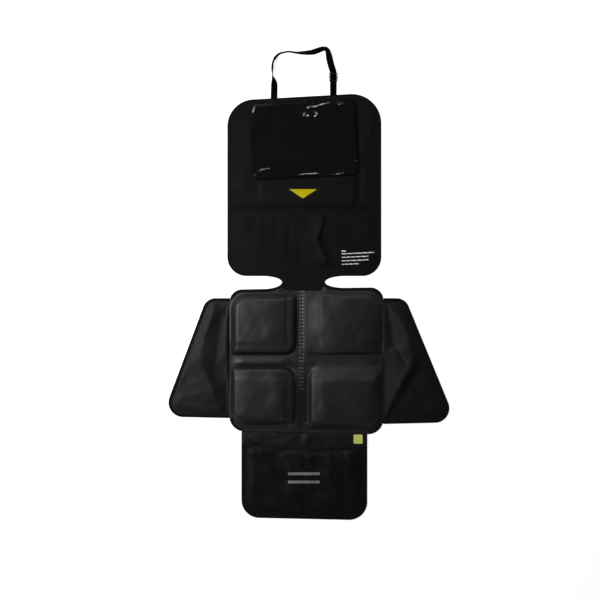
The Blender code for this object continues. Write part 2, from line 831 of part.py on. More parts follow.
def build_tablet_band(looks):
    """Padded band under the window with the badge on its flat top."""
    low = POCKET_MOUTH_Y + GAP
    slope = math.tan(WINDOW_TILT)
    window_low = window_corner(0, -WINDOW_HEIGHT / 2) - Vector((0, GAP / math.cos(WINDOW_TILT)))
    high = [window_low.y + slope * (x - window_low.x) for x in (-BAND_LEFT, BAND_RIGHT)]

    def ring(shrink):
        radius = max(SMALL_RADIUS, BAND_CORNER - shrink)
        return rounded([
            (-BAND_LEFT + shrink, low + shrink, radius),
            (BAND_RIGHT - shrink, low + shrink, radius),
            (BAND_RIGHT - shrink, high[1] - shrink, BAND_TOP_CORNER),
            (-BAND_LEFT + shrink, high[0] - shrink, BAND_TOP_CORNER),
        ])

    lines = [
        [Vector((*point, share * BAND_RISE)) for point in ring(depth * BAND_EDGE)]
        for depth, share in BAND_STEPS
    ]
    sheet("tablet_band", looks["fabric"], lines[0], OVERLAY_Z, rings=lines[1:])
    build_badge(looks["yellow"], (low + window_low.y) / 2)


def build_badge(look, band_middle):
    """Inverted triangle on the band."""
    left = BADGE_CENTRE_X - BADGE_WIDTH / 2
    right = BADGE_CENTRE_X + BADGE_WIDTH / 2
    top = band_middle - BADGE_DROP + BADGE_HEIGHT / 2
    outline = rounded([
        (BADGE_CENTRE_X, top - BADGE_HEIGHT, BADGE_POINT_RADIUS),
        (right, top, BADGE_CORNER),
        (left, top, BADGE_CORNER),
    ])
    plate("badge", look, outline, UPPER_Z + BAND_RISE, BADGE_THICKNESS)


# Wings


def build_wings(looks, profile):
    left = wing_outline(LEFT_WING_TOP_X, LEFT_WING_TIP, LEFT_WING_FOOT_Y, -SEAT_LEFT)
    right = wing_outline(RIGHT_WING_TOP_X, RIGHT_WING_TIP, RIGHT_WING_FOOT_Y, SEAT_RIGHT)
    build_wing("wing_left", looks, left, left_wing_folds(), profile)
    build_wing("wing_right", looks, right, right_wing_folds(), profile)


def build_wing(name, looks, outline, folds, profile):
    """A folded cloth sheet and the tape on its three free edges."""
    border = inset(outline, TAPE_INNER + EDGE_INSET)
    edge_x = -SEAT_LEFT if name == "wing_left" else SEAT_RIGHT
    side = math.copysign(1.0, edge_x)
    rim = stretch(border, lambda p: side * (p.x - edge_x) - SEAM_WIDTH * 0.4)
    flat_rim = [Vector((*point, 0.0)) for point in rim]
    seam_x = edge_x + side * GAP
    ends = (min(point.y for point in border), max(point.y for point in border))
    seam = [Vector((seam_x, y, 0.0)) for y in ends]
    sheet(name, looks["fabric"], inset(outline, EDGE_INSET), PANEL_Z, folds=[flat_rim, seam, *folds])
    path = stretch(outline, lambda p: side * (p.x - edge_x) - GAP)
    swept(f"{name}_tape", looks["tape"], [(*point, 0.0) for point in path], profile)


def wing_fold(edge_x, tip_x, foot_y, rise, shares):
    """A fold line from its shares of the wing's reach, of its length and of the rise."""
    return [
        Vector((edge_x + out * (tip_x - edge_x), WING_TOP_Y + down * (foot_y - WING_TOP_Y), up * rise))
        for out, down, up in shares
    ]


def left_wing_folds():
    """Crests and valleys of the left wing's soft folds, and the fold beside its seam."""
    place = (-SEAT_LEFT, LEFT_WING_TIP[0], LEFT_WING_FOOT_Y)
    crest = [(0.228, 0.067, 0.3), (0.243, 0.122, 0.8), (0.399, 0.382, 1.0), (0.419, 0.516, 0.9),
             (0.243, 0.771, 0.9), (0.119, 0.936, 0.35)]
    valley = [(0.088, 0.090, 0.0), (0.109, 0.148, 0.0), (0.181, 0.452, 0.05), (0.202, 0.629, 0.0),
              (0.093, 0.716, 0.0), (0.078, 0.872, 0.0)]
    slope = [(0.673, 0.611, 0.18), (0.596, 0.814, 0.15)]
    seam = [(0.034, 0.119, 0.0), (0.034, 0.206, 1.0), (0.034, 0.437, 1.0), (0.034, 0.713, 0.0)]
    folds = [wing_fold(*place, FOLD_RISE, line) for line in (crest, valley, slope)]
    return [*folds, wing_fold(*place, SEAM_FOLD_RISE, seam)]


def right_wing_folds():
    """Crests and valleys of the right wing's soft folds, and the fold beside its seam."""
    place = (SEAT_RIGHT, RIGHT_WING_TIP[0], RIGHT_WING_FOOT_Y)
    crest = [(0.067, 0.058, 0.4), (0.157, 0.174, 0.8), (0.391, 0.411, 1.0), (0.401, 0.524, 0.95),
             (0.196, 0.748, 0.9), (0.081, 0.900, 0.35)]
    valley = [(0.172, 0.373, 0.15), (0.253, 0.499, 0.1), (0.281, 0.555, 0.0)]
    outer = [(0.291, 0.168, 0.1), (0.506, 0.417, 0.15), (0.520, 0.582, 0.1), (0.348, 0.789, 0.0),
             (0.224, 0.913, 0.0)]
    seam = [(0.026, 0.141, 0.0), (0.026, 0.334, 1.0), (0.026, 0.555, 1.0), (0.026, 0.803, 0.3)]
    folds = [wing_fold(*place, FOLD_RISE, line) for line in (crest, valley, outer)]
    return [*folds, wing_fold(*place, SEAM_FOLD_RISE, seam)]


# Front flap


def build_front(looks, profile):
    """Flap, the pocket on it, and the soft band over the pocket's mouth."""
    outline = front_outline()
    sheet("front_flap", looks["fabric"], inset(outline, EDGE_INSET), PANEL_Z)
    path = stretch(outline, lambda p: seat_front_y(p.x) - GAP - p.y)
    swept("front_tape", looks["tape"], [(*point, 0.0) for point in path], profile)
    build_front_pocket(looks)
    build_front_band(looks)


def build_front_pocket(looks):
    """Pocket inside the flap's tape, a little full in the middle."""
    left = -FRONT_LEFT + TAPE_INNER
    right = FRONT_RIGHT - TAPE_INNER
    left_end = -FRONT_END + FRONT_END_SLANT / 2 + TAPE_INNER
    right_end = -FRONT_END - FRONT_END_SLANT / 2 + TAPE_INNER
    corner = FRONT_CORNER - TAPE_INNER
    top = [seat_front_y(left) - GAP, seat_front_y(right) - GAP]
    outline = rounded([
        (left, left_end, corner),
        (right, right_end, corner),
        (right, top[1], 0),
        (left, top[0], 0),
    ])
    below_band = -SEAT_FRONT - FRONT_BAND_DEPTH - FRONT_BAND_DIP

    def spot(across, down, rise):
        """A point by its shares of the pocket's width and of its depth below the band."""
        return Vector((left + across * (right - left), below_band + down * (left_end - below_band),
                       rise * FRONT_POCKET_RISE))

    full = [spot(0.2, 0.34, 1.0), spot(0.5, 0.29, 1.0), spot(0.8, 0.39, 1.0), spot(0.5, 0.66, 1.0)]
    shelf = [spot(0.0, 0.043, 0.0), spot(1.0, 0.064, 0.0)]
    sheet("front_pocket", looks["fabric"], outline, OVERLAY_Z, folds=[shelf], spots=full)


def build_front_band(looks):
    """Band across the flap, its lower edge dipping in the middle, with two soft folds."""
    left = -FRONT_LEFT + GAP
    right = FRONT_RIGHT - GAP
    edge = []
    for step in range(FRONT_BAND_STEPS + 1):
        share = step / FRONT_BAND_STEPS
        x = left + share * (right - left)
        dip = FRONT_BAND_DIP * math.sin(math.pi * share) ** 2
        depth = FRONT_BAND_DEPTH - FRONT_BAND_RISE_AT_SIDES + dip
        edge.append(Vector((x, seat_front_y(x) - depth)))
    top = [Vector((right, seat_front_y(right) - GAP)), Vector((left, seat_front_y(left) - GAP))]

    def line(*shares):
        """A fold line from its shares of the band's width, of its depth and of the rise."""
        spots = [(left + across * (right - left), down, rise) for across, down, rise in shares]
        return [
            Vector((x, seat_front_y(x) - down * FRONT_BAND_DEPTH, rise * FRONT_BAND_FOLD_RISE))
            for x, down, rise in spots
        ]

    folds = [
        line((0.032, 0.236, 0.0), (0.082, 0.556, 1.0), (0.137, 0.849, 0.0)),
        line((0.508, 0.105, 0.0), (0.519, 0.444, 1.0), (0.533, 0.905, 0.0)),
        line((0.207, 0.628, 0.0), (0.303, 0.756, 0.6), (0.414, 0.660, 0.0)),
        line((0.005, 0.425, 0.0), (0.088, 0.872, 0.0)),
        line((0.082, 0.190, 0.0), (0.165, 0.710, 0.0)),
        line((0.475, 0.112, 0.0), (0.480, 0.940, 0.0)),
        line((0.558, 0.144, 0.0), (0.580, 0.920, 0.0)),
    ]
    sheet("front_band", looks["fabric"], edge + top, UPPER_Z, folds=folds)
    half = TAG_SIZE / 2
    tag_y = seat_front_y(TAG_CENTRE_X) - half - TAG_DROP
    outline = rounded([
        (TAG_CENTRE_X - half, tag_y - half, TAG_CORNER),
        (TAG_CENTRE_X + half, tag_y - half, TAG_CORNER),
        (TAG_CENTRE_X + half, tag_y + half, TAG_CORNER),
        (TAG_CENTRE_X - half, tag_y + half, TAG_CORNER),
    ])
    plate("side_tag", looks["lime"], outline, TRIM_Z, TAG_THICKNESS)


# Headrest loop


def strap_height(lean):
    """Height of the webbing's middle when it lies on the ground with this lean."""
    return GAP + (STRAP_WIDTH * abs(math.sin(lean)) + STRAP_THICKNESS * abs(math.cos(lean))) / 2


def slider_y():
    """Middle of the slider, on the right end of the webbing."""
    return back_top_y(STRAP_RIGHT_X) + SLIDER_RISE


def strap_route():
    """(x, y, z, lean) points from the left end, round the loop and through the slider."""
    seated = PANEL_Z + STRAP_THICKNESS / 2
    resting = strap_height(0.0)
    left_edge = back_top_y(STRAP_LEFT_X)
    right_edge = back_top_y(STRAP_RIGHT_X)
    route = [
        (STRAP_LEFT_X, left_edge - STRAP_TUCK, seated, 0.0),
        (STRAP_LEFT_X, left_edge, seated, 0.0),
        (STRAP_LEFT_X, left_edge + STRAP_STEP_OFF, seated, 0.0),
    ]
    for across, up, degrees in (
        (0.001, 0.153, 0), (0.002, 0.250, 14), (-0.009, 0.356, 58), (-0.026, 0.450, 88),
        (-0.029, 0.611, 76), (-0.009, 0.761, 82), (0.022, 0.821, 74), (0.082, 0.897, 84),
        (0.167, 0.933, 88), (0.251, 0.947, 88), (0.370, 0.925, 86), (0.504, 0.923, 70),
        (0.606, 0.930, 58), (0.690, 0.953, 46), (0.775, 0.992, 50), (0.839, 1.013, 62),
        (0.889, 0.994, 58), (0.917, 0.909, 34), (0.938, 0.790, 10), (0.971, 0.635, 0),
    ):
        x = STRAP_LEFT_X + across * (STRAP_RIGHT_X - STRAP_LEFT_X)
        lean = math.radians(degrees)
        route.append((x, BACK_TOP + up * STRAP_LOOP_HEIGHT, strap_height(lean), lean))
    under = resting
    over = resting + STRAP_THICKNESS + 2 * GAP + SLIDER_THICKNESS
    end = SLIDER_LENGTH / 2
    bar = SLIDER_BAR
    rise_start = end - bar - SLIDER_BAR_GAP
    rise_end = bar / 2 + SLIDER_BAR_GAP
    weave = [
        (end + STRAP_THICKNESS, under), (end - bar, under), (rise_start, under),
        ((rise_start + rise_end) / 2, (under + over) / 2), (rise_end, over), (0.0, over),
    ]
    weave += [(-offset, z) for offset, z in weave[-2::-1]]
    route += [(STRAP_RIGHT_X, slider_y() + offset, z, 0.0) for offset, z in weave]
    route += [
        (STRAP_RIGHT_X, right_edge + STRAP_RUN, resting, 0.0),
        (STRAP_RIGHT_X, right_edge + STRAP_STEP_OFF, seated, 0.0),
        (STRAP_RIGHT_X, right_edge, seated, 0.0),
        (STRAP_RIGHT_X, right_edge - STRAP_TUCK, seated, 0.0),
    ]
    return route


def build_strap(looks):
    half = STRAP_WIDTH / 2
    thin = STRAP_THICKNESS / 2
    profile = profile_curve("strap_profile", [(-half, -thin), (half, -thin), (half, thin), (-half, thin)])
    route = strap_route()
    path = [point[:3] for point in route]
    leans = [point[3] for point in route]
    swept("headrest_strap", looks["webbing"], path, profile, leans, STRAP_SMOOTHNESS)
    outline = slider_ring(SLIDER_WIDTH / 2, SLIDER_LENGTH / 2, SLIDER_CORNER, 0.0)
    slot_width = SLIDER_WIDTH / 2 - SLIDER_SIDE
    slot_length = (SLIDER_LENGTH - 3 * SLIDER_BAR) / 4
    slot_offset = SLIDER_BAR / 2 + slot_length
    holes = [
        slider_ring(slot_width, slot_length, SLIDER_SLOT_CORNER, side * slot_offset)
        for side in (-1, 1)
    ]
    level = strap_height(0.0) + STRAP_THICKNESS / 2 + GAP
    plate("strap_slider", looks["plastic"], outline, level, SLIDER_THICKNESS, holes)


def slider_ring(half_width, half_length, radius, offset):
    """A rounded rectangle of the slider, its middle moved along the strap."""
    spots = ((-1, -1), (1, -1), (1, 1), (-1, 1))
    return rounded([
        (STRAP_RIGHT_X + across * half_width, slider_y() + offset + along * half_length, radius)
        for across, along in spots
    ])


def main():
    start_scene()
    looks = {
        "fabric": material("black_fabric", (0.012, 0.012, 0.013), 0.75),
        "leather": material("black_leather", (0.020, 0.020, 0.022), 0.38),
        "tape": material("edge_tape", (0.008, 0.008, 0.009), 0.7),
        "foam": material("grey_foam", (0.35, 0.35, 0.36), 0.95),
        "lining": material("base_lining", (0.03, 0.03, 0.03), 0.8),
        "grip": material("grip_mesh", (0.02, 0.02, 0.02), 0.9),
        "clear": material("clear_film", (0.75, 0.77, 0.80), 0.06, alpha=0.25),
        "yellow": material("yellow_badge", (0.60, 0.52, 0.02), 0.4),
        "lime": material("lime_tag", (0.48, 0.56, 0.10), 0.6),
        "webbing": material("black_webbing", (0.006, 0.006, 0.006), 0.6),
        "plastic": material("black_plastic", (0.010, 0.010, 0.010), 0.35),
    }
    build_seat(looks)
    panel_profile = build_back(looks)
    build_wings(looks, panel_profile)
    build_front(looks, panel_profile)
    build_strap(looks)


main()
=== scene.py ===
"""Looks of the car seat protector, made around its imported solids.

Metres, in the frame's own axes: X across the seat, Y towards the headrest loop, Z up. Each cloth
solid is replaced by a fine sheet cut to the solid's outline, whose height starts from the solid's
own top and then takes the folds, seams and small waves of the real cloth.
"""

import math

import bmesh
import bpy
import numpy as np
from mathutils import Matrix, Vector
from mathutils.bvhtree import BVHTree
from mathutils.geometry import delaunay_2d_cdt
from mathutils.kdtree import KDTree


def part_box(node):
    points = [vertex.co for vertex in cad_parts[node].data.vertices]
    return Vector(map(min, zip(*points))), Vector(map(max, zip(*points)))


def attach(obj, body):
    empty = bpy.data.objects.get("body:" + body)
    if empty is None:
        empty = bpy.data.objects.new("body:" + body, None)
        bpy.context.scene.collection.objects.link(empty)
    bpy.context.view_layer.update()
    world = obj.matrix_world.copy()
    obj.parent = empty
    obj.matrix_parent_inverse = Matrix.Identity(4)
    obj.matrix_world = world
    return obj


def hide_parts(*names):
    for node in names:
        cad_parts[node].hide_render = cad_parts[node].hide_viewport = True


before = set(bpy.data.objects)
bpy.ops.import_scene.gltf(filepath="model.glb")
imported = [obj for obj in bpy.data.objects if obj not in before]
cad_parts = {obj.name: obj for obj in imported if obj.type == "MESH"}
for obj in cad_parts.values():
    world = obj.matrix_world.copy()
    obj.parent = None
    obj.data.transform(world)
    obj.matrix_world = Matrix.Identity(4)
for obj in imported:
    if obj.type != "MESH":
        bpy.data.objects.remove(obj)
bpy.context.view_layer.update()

BODY = "root"
SEED = 41

# Camera, straight above as in the photograph
CAMERA_X = -0.0115
CAMERA_Y = 0.1757
CAMERA_HEIGHT = 4.0
SENSOR = 36.0
VIEW_WIDTH = 1.728

# Outlines: tilts of the faces that meet at a border, and the corners that a smooth line keeps
DOWNWARD = -0.3
UPRIGHT = 0.05
SHARP_TURN = math.radians(30)
STRAIGHT_SIDE = 0.030

# Cloth and film thickness, and the rows of points along a crease
CLOTH = 0.0012
FILM = 0.0008
CREASE_APART = 0.0008
CREASE_INSET = 0.0012

# Seat pads
PAD_RISE = 0.0150
PAD_CROWN = 0.0055
# Widths of each pad's rolled sides, at its outer side and at its back or front
ROLLS = {
    "back_left": (0.018, 0.020),
    "back_right": (0.029, 0.020),
    "front_left": (0.013, 0.026),
    "front_right": (0.029, 0.026),
}
ROLL_POWER = 1.35
INNER_ROLL = 0.012
STRETCHED_ROLL = 0.042
STRETCHED_BLUR = 0.0055
LOW_PAD = 0.75
TERRACE = 0.17
CROWN_BLUR = 0.030
FOAM_BORDER = 0.0028
FOAM_GAP = 0.0004
SHOULDER = 0.036
SHOULDER_STEP = 0.005
SHOULDER_DROP = 0.11
RIGHT_SHOULDER = 0.3
CREASE_DEPTH = 0.0005
CREASE_WIDTH = 0.0011
SEAM_DEPTH = 0.0012
SEAM_WIDTH = 0.0016
RIB_RISE = 0.0060
STAR_RISE = 0.0018
STAR_WIDTH = 0.0042
STAR_SHARES = (1.0, 0.5, 0.3, 0.4)
RIGHT_RIB = 0.4
RIGHT_CREASE = 0.4
CLIMB = 0.0040
CROSS_CLIMB = 0.0040
SINK = 0.0070
SKIRT_SLOPE = 0.26
BRIM_SLOPE = 0.15

# Folds of the clear film
FOLD_FLANK = 0.0026
FOLD_STEP = 0.0015
FOLD_APART = 0.00035
WALL_FOOT = 0.0035
WALL_WIDTH = 0.0030
WALL_RISE = 0.0068

# Waves of the wings: two pairs of a rise and a length
WING_WAVES = ((0.0012, 0.09), (0.0005, 0.035))

# Tape and stitches
TAPE_WIDTH = 0.009
TAPE_WALL = 0.0007
STITCH_INSET = 0.0068
STITCH_PITCH = 0.0036
STITCH_LENGTH = 0.0026
THREAD = 0.00042
THREAD_PRESS = 0.00016
THREAD_PULL = 0.00010
THREAD_GROOVE = 0.0009
LOOSE_EDGE = 0.008
TAG_INSET = 0.0022
TAPES = ("back_tape", "wing_left_tape", "wing_right_tape", "front_tape", "seat_tape_back_left",
         "seat_tape_back_right", "seat_tape_front_left", "seat_tape_front_right")

# Prints
DIGIT_HEIGHT = 0.0040
DIGIT_WIDTH = 0.75
DIGIT_STROKE = 0.15
SCALE_TOP = 0.2000
SCALE_PITCH = 0.010
SCALE_MARKS = 29
TICKS_LEFT = -0.0132
TICK_HEIGHT = 0.0014
NUMBERS_LEFT = -0.0058
BARS_LEFT = 0.1085
BARS_TOP = 0.3085
BARS_PITCH = 0.0101
BARS_SLANT = 0.05
BAR_HEIGHT = 0.0026
WORD_GAP = 0.0022

# Pieces that keep their solid, and their looks
PLAIN_LOOKS = {
    "storage_pocket_hem": "tape",
    "headrest_strap": "webbing",
    "seat_base": "lining",
    "grip_backing": "grip",
}

# Studio: each lamp's name, place, target, size and its share of white at the target
LAMPS = (
    ("key", (-1.00, 0.42, 1.15), (-0.05, 0.10, 0), (0.40, 0.40), 0.68),
    ("side", (-1.15, 1.25, 1.14), (-0.12, 0.68, 0), (0.28, 0.28), 0.065),
    ("right", (1.90, 0.75, 1.60), (0.05, 0.30, 0), (0.25, 0.60), 0.03),
    ("back", (-0.50, 2.30, 1.70), (0, 0.30, 0), (1.30, 0.34), 0.17),
    ("front", (-0.10, -1.90, 1.60), (0, 0.10, 0), (0.70, 0.20), 0.03),
    ("low_left", (-1.30, -0.70, 1.90), (0, 0.60, 0), (0.26, 0.26), 0.05),
    ("high_right", (1.10, 2.00, 1.70), (0, 0.60, 0), (0.26, 0.26), 0.04),
)
FLOOR_SIZE = 80.0
FLOOR_LEVEL = -0.0006
FLOOR_GREY = (0.42, 0.42, 0.42)
FLOOR_GLOW = 0.82
WALLS = {"From Min": 0.10, "From Max": 0.45, "To Min": 0.14, "To Max": 0.04}


# Outlines and meshes


def welded(node):
    """A bmesh of a CAD node with its split corners joined again."""
    bm = bmesh.new()
    bm.from_mesh(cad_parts[node].data)
    bmesh.ops.remove_doubles(bm, verts=bm.verts[:], dist=1e-6)
    bm.normal_update()
    return bm


def chained(pairs):
    """The longest run of points in a set of linked pairs, and whether it closes."""
    links = {}
    for start, end in pairs:
        links.setdefault(start, []).append(end)
        links.setdefault(end, []).append(start)
    best = []
    closes = False
    left = set(links)
    while left:
        ends = [spot for spot in left if len(links[spot]) == 1]
        spot = min(ends or left)
        run = [spot]
        left.discard(spot)
        while True:
            ahead = sorted(other for other in links[run[-1]] if other in left)
            if not ahead:
                break
            run.append(ahead[0])
            left.discard(ahead[0])
        if len(run) > len(best):
            best = run
            closes = not ends
    return best, closes


def outline_of(node):
    """Counterclockwise corners of a node's border, where its walls meet its underside."""
    bm = welded(node)
    pairs = []
    for edge in bm.edges:
        if len(edge.link_faces) != 2:
            continue
        tilts = sorted(face.normal.z for face in edge.link_faces)
        if tilts[0] < DOWNWARD and abs(tilts[1]) < UPRIGHT:
            pairs.append(tuple(vertex.index for vertex in edge.verts))
    run, _ = chained(pairs)
    bm.verts.ensure_lookup_table()
    corners = [Vector(bm.verts[i].co[:2]) for i in run]
    bm.free()
    area = sum(a.x * b.y - b.x * a.y for a, b in zip(corners, corners[1:] + corners[:1]))
    return corners if area > 0 else corners[::-1]


def directions(corners, closed):
    """The way a smooth line leaves and reaches each corner. Sharp corners and long sides stay."""
    count = len(corners)
    leaving = []
    reaching = []
    for i, corner in enumerate(corners):
        before = corner - corners[i - 1]
        after = corners[(i + 1) % count] - corner
        if not closed and i == 0:
            before = after
        if not closed and i == count - 1:
            after = before
        turn = before.angle(after)
        first = before.normalized()
        second = after.normalized()
        if turn < SHARP_TURN:
            if before.length > STRAIGHT_SIDE >= after.length:
                second = first
            elif after.length > STRAIGHT_SIDE >= before.length:
                first = second
            else:
                first = second = (first + second).normalized()
        reaching.append(first)
        leaving.append(second)
    return leaving, reaching


def smooth_line(corners, spacing, closed=True):
    """Points about one spacing apart on a smooth line through the corners."""
    leaving, reaching = directions(corners, closed)
    count = len(corners)
    points = []
    for i in range(count if closed else count - 1):
        start = corners[i]
        end = corners[(i + 1) % count]
        length = (end - start).length
        pieces = max(1, round(length / spacing))
        out = leaving[i] * length
        back = reaching[(i + 1) % count] * length
        for step in range(pieces):
            t = step / pieces
            points.append(
                start * (2 * t**3 - 3 * t**2 + 1) + out * (t**3 - 2 * t**2 + t)
                + end * (3 * t**2 - 2 * t**3) + back * (t**3 - t**2)
            )
    if not closed:
        points.append(corners[-1])
    return points


def inside(loop, x, y):
    """Which of the points lie in a closed loop."""
    found = np.zeros(x.shape, bool)
    for i, end in enumerate(loop):
        start = loop[i - 1]
        if start.y == end.y:
            continue
        spans = (start.y > y) != (end.y > y)
        found ^= spans & (x < start.x + (y - start.y) * (end.x - start.x) / (end.y - start.y))
    return found


def distance(line, x, y, closed=True):
    """Distance from points to a line."""
    nearest = np.full(x.shape, 1e9)
    for i in range(0 if closed else 1, len(line)):
        start = line[i - 1]
        side = line[i] - start
        share = ((x - start.x) * side.x + (y - start.y) * side.y) / max(side.length_squared, 1e-14)
        share = np.clip(share, 0.0, 1.0)
        gap = (x - start.x - share * side.x) ** 2 + (y - start.y - share * side.y) ** 2
        nearest = np.minimum(nearest, gap)
    return np.sqrt(nearest)


def depth_in(loop, x, y):
    """Distance inside a closed loop, negative outside it."""
    return np.where(inside(loop, x, y), 1.0, -1.0) * distance(loop, x, y)


def ease(value, low, high):
    """Smooth step from 0 at low to 1 at high."""
    t = np.clip((value - low) / (high - low), 0.0, 1.0)
    return t * t * (3 - 2 * t)


def lattice(loop, spacing):
    """Staggered points inside a loop, clear of its border."""
    low_x = min(point.x for point in loop)
    high_x = max(point.x for point in loop)
    low_y = min(point.y for point in loop)
    high_y = max(point.y for point in loop)
    row = spacing * math.sqrt(3) / 2
    across = np.arange(low_x, high_x, spacing)
    along = np.arange(low_y, high_y, row)
    x, y = np.meshgrid(across, along)
    x[1::2] += spacing / 2
    x = x.ravel()
    y = y.ravel()
    keep = inside(loop, x, y)
    x = x[keep]
    y = y[keep]
    keep = distance(loop, x, y) > spacing * 0.6
    return list(zip(x[keep].tolist(), y[keep].tolist()))


def crease_rows(lines, step=0.0016, offset=0.0011):
    """Extra points in three rows along lines, so that a thin crease keeps its shape."""
    rows = []
    for line in lines:
        for i in range(1, len(line)):
            start = line[i - 1]
            side = line[i] - start
            normal = Vector((-side.y, side.x)).normalized() * offset
            pieces = max(1, round(side.length / step))
            for piece in range(pieces):
                spot = start + side * piece / pieces
                rows.extend((spot - normal, spot, spot + normal))
    return rows


def tree_of(points):
    """A search tree of points in the plane."""
    tree = KDTree(len(points))
    for i, point in enumerate(points):
        tree.insert((*point, 0.0), i)
    tree.balance()
    return tree


def thinned(points, apart):
    """Drops points that lie nearer than the given distance to an earlier one."""
    tree = tree_of(points)
    dropped = set()
    for i, point in enumerate(points):
        if i not in dropped:
            near = tree.find_range((*point, 0.0), apart)
            dropped.update(other for _, other, _ in near if other > i)
    return [point for i, point in enumerate(points) if i not in dropped]


def without_near(points, others, apart):
    """The points that lie further than the given distance from all others."""
    tree = tree_of(others)
    return [point for point in points if tree.find((*point, 0.0))[2] > apart]


def grown(loop, by):
    """A counterclockwise loop moved outward, or inward by a negative distance."""
    moved = []
    for i, point in enumerate(loop):
        side = (loop[(i + 1) % len(loop)] - loop[i - 1]).normalized()
        moved.append(point + Vector((side.y, -side.x)) * by)
    return moved


def fold_rows(folds, flank):
    """Points in seven rows along sharp folds: the crest, both flanks' ends and their feet."""
    rows = []
    for fold in folds:
        for (ax, ay, first), (bx, by, second) in zip(fold, fold[1:]):
            start = Vector((ax, ay))
            side = Vector((bx, by)) - start
            normal = Vector((-side.y, side.x)).normalized()
            pieces = max(1, round(side.length / FOLD_STEP))
            for piece in range(pieces + 1):
                spot = start + side * piece / pieces
                width = flank * (first + (second - first) * piece / pieces)
                for share in (-1.0, -0.85, -0.15, 0.0, 0.15, 0.85, 1.0):
                    rows.append(tuple(spot + normal * share * width))
    return thinned(rows, FOLD_APART)


def fine_sheet(name, loop, spacing, top, thickness, look, creases=(), underside=None, folds=()):
    """A closed sheet cut to a loop, with its upper side at top(x, y)."""
    points = lattice(loop, spacing)
    if creases or folds:
        rows = thinned([tuple(point) for point in crease_rows(creases)], CREASE_APART) + list(folds)
        x = np.array([point[0] for point in rows])
        y = np.array([point[1] for point in rows])
        keep = depth_in(loop, x, y) > CREASE_INSET
        rows = [row for row, kept in zip(rows, keep) if kept]
        points = without_near(points, rows, spacing * 0.55) + rows
    border = [Vector(point) for point in loop]
    count = len(border)
    plan = border + [Vector(point) for point in points]
    edges = [(i, (i + 1) % count) for i in range(count)]
    spots, _, faces, _, _, _ = delaunay_2d_cdt(plan, edges, [list(range(count))], 1, 1e-7)
    place = np.array([tuple(spot) for spot in spots])
    faces = np.array([tuple(face) for face in faces])
    a, b, c = (place[faces[:, i]] for i in range(3))
    turned = (b[:, 0] - a[:, 0]) * (c[:, 1] - a[:, 1]) < (c[:, 0] - a[:, 0]) * (b[:, 1] - a[:, 1])
    faces[turned] = faces[turned][:, ::-1]
    height = top(place[:, 0], place[:, 1])
    total = len(place)
    under = height - thickness if underside is None else underside(place[:, 0], place[:, 1])
    upper = np.column_stack((place, height))
    lower = np.column_stack((place, under))
    sides = {}
    for face in faces.tolist():
        for start, end in zip(face, face[1:] + face[:1]):
            if (end, start) in sides:
                del sides[(end, start)]
            else:
                sides[(start, end)] = True
    walls = [(start, start + total, end + total, end) for start, end in sides]
    used = np.zeros(total, bool)
    used[faces.ravel()] = True
    mesh = bpy.data.meshes.new(name)
    polygons = faces.tolist() + (faces[:, ::-1] + total).tolist() + walls
    mesh.from_pydata(np.vstack((upper, lower)).tolist(), [], polygons)
    return finished(name, mesh, look, loose=not used.all())


def built(name, points, faces, look, smooth_angle=50.0):
    """A piece of the object from its points and faces."""
    mesh = bpy.data.meshes.new(name)
    mesh.from_pydata(points, [], faces)
    return finished(name, mesh, LOOKS[look], smooth_angle)


def finished(name, mesh, look, smooth_angle=50.0, loose=False):
    """Puts a mesh in the scene as a smooth piece of the object."""
    if loose:
        bm = bmesh.new()
        bm.from_mesh(mesh)
        bmesh.ops.delete(bm, geom=[v for v in bm.verts if not v.link_faces], context="VERTS")
        bm.to_mesh(mesh)
        bm.free()
    mesh.materials.append(look)
    mesh.shade_smooth()
    mesh.set_sharp_from_angle(angle=math.radians(smooth_angle))
    obj = bpy.data.objects.new(name, mesh)
    bpy.context.scene.collection.objects.link(obj)
    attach(obj, BODY)
    return obj


class Field:
    """Heights on a square grid, read smoothly between its points."""

    def __init__(self, low, high, cell):
        self.cell = cell
        self.low = low
        self.columns = int((high[0] - low[0]) / cell) + 2
        self.rows = int((high[1] - low[1]) / cell) + 2
        across = low[0] + cell * np.arange(self.columns)
        along = low[1] + cell * np.arange(self.rows)
        self.x, self.y = np.meshgrid(across, along)
        self.values = np.zeros(self.x.shape)

    def blurred(self, values, width):
        """The grid softened by a bell of the given width."""
        reach = int(3 * width / self.cell) + 1
        offsets = np.arange(-reach, reach + 1)
        bell = np.exp(-0.5 * (offsets * self.cell / width) ** 2)
        bell /= bell.sum()
        for axis in (0, 1):
            padding = [(reach, reach) if side == axis else (0, 0) for side in (0, 1)]
            padded = np.pad(values, padding, mode="edge")
            length = values.shape[axis]
            values = sum(
                weight * np.take(padded, np.arange(i, i + length), axis=axis)
                for i, weight in enumerate(bell)
            )
        return values

    def __call__(self, x, y):
        column = np.clip((x - self.low[0]) / self.cell, 0, self.columns - 1.001)
        row = np.clip((y - self.low[1]) / self.cell, 0, self.rows - 1.001)
        i = column.astype(int)
        j = row.astype(int)
        u = column - i
        v = row - j
        near = self.values[j, i] * (1 - u) + self.values[j, i + 1] * u
        far = self.values[j + 1, i] * (1 - u) + self.values[j + 1, i + 1] * u
        return near * (1 - v) + far * v


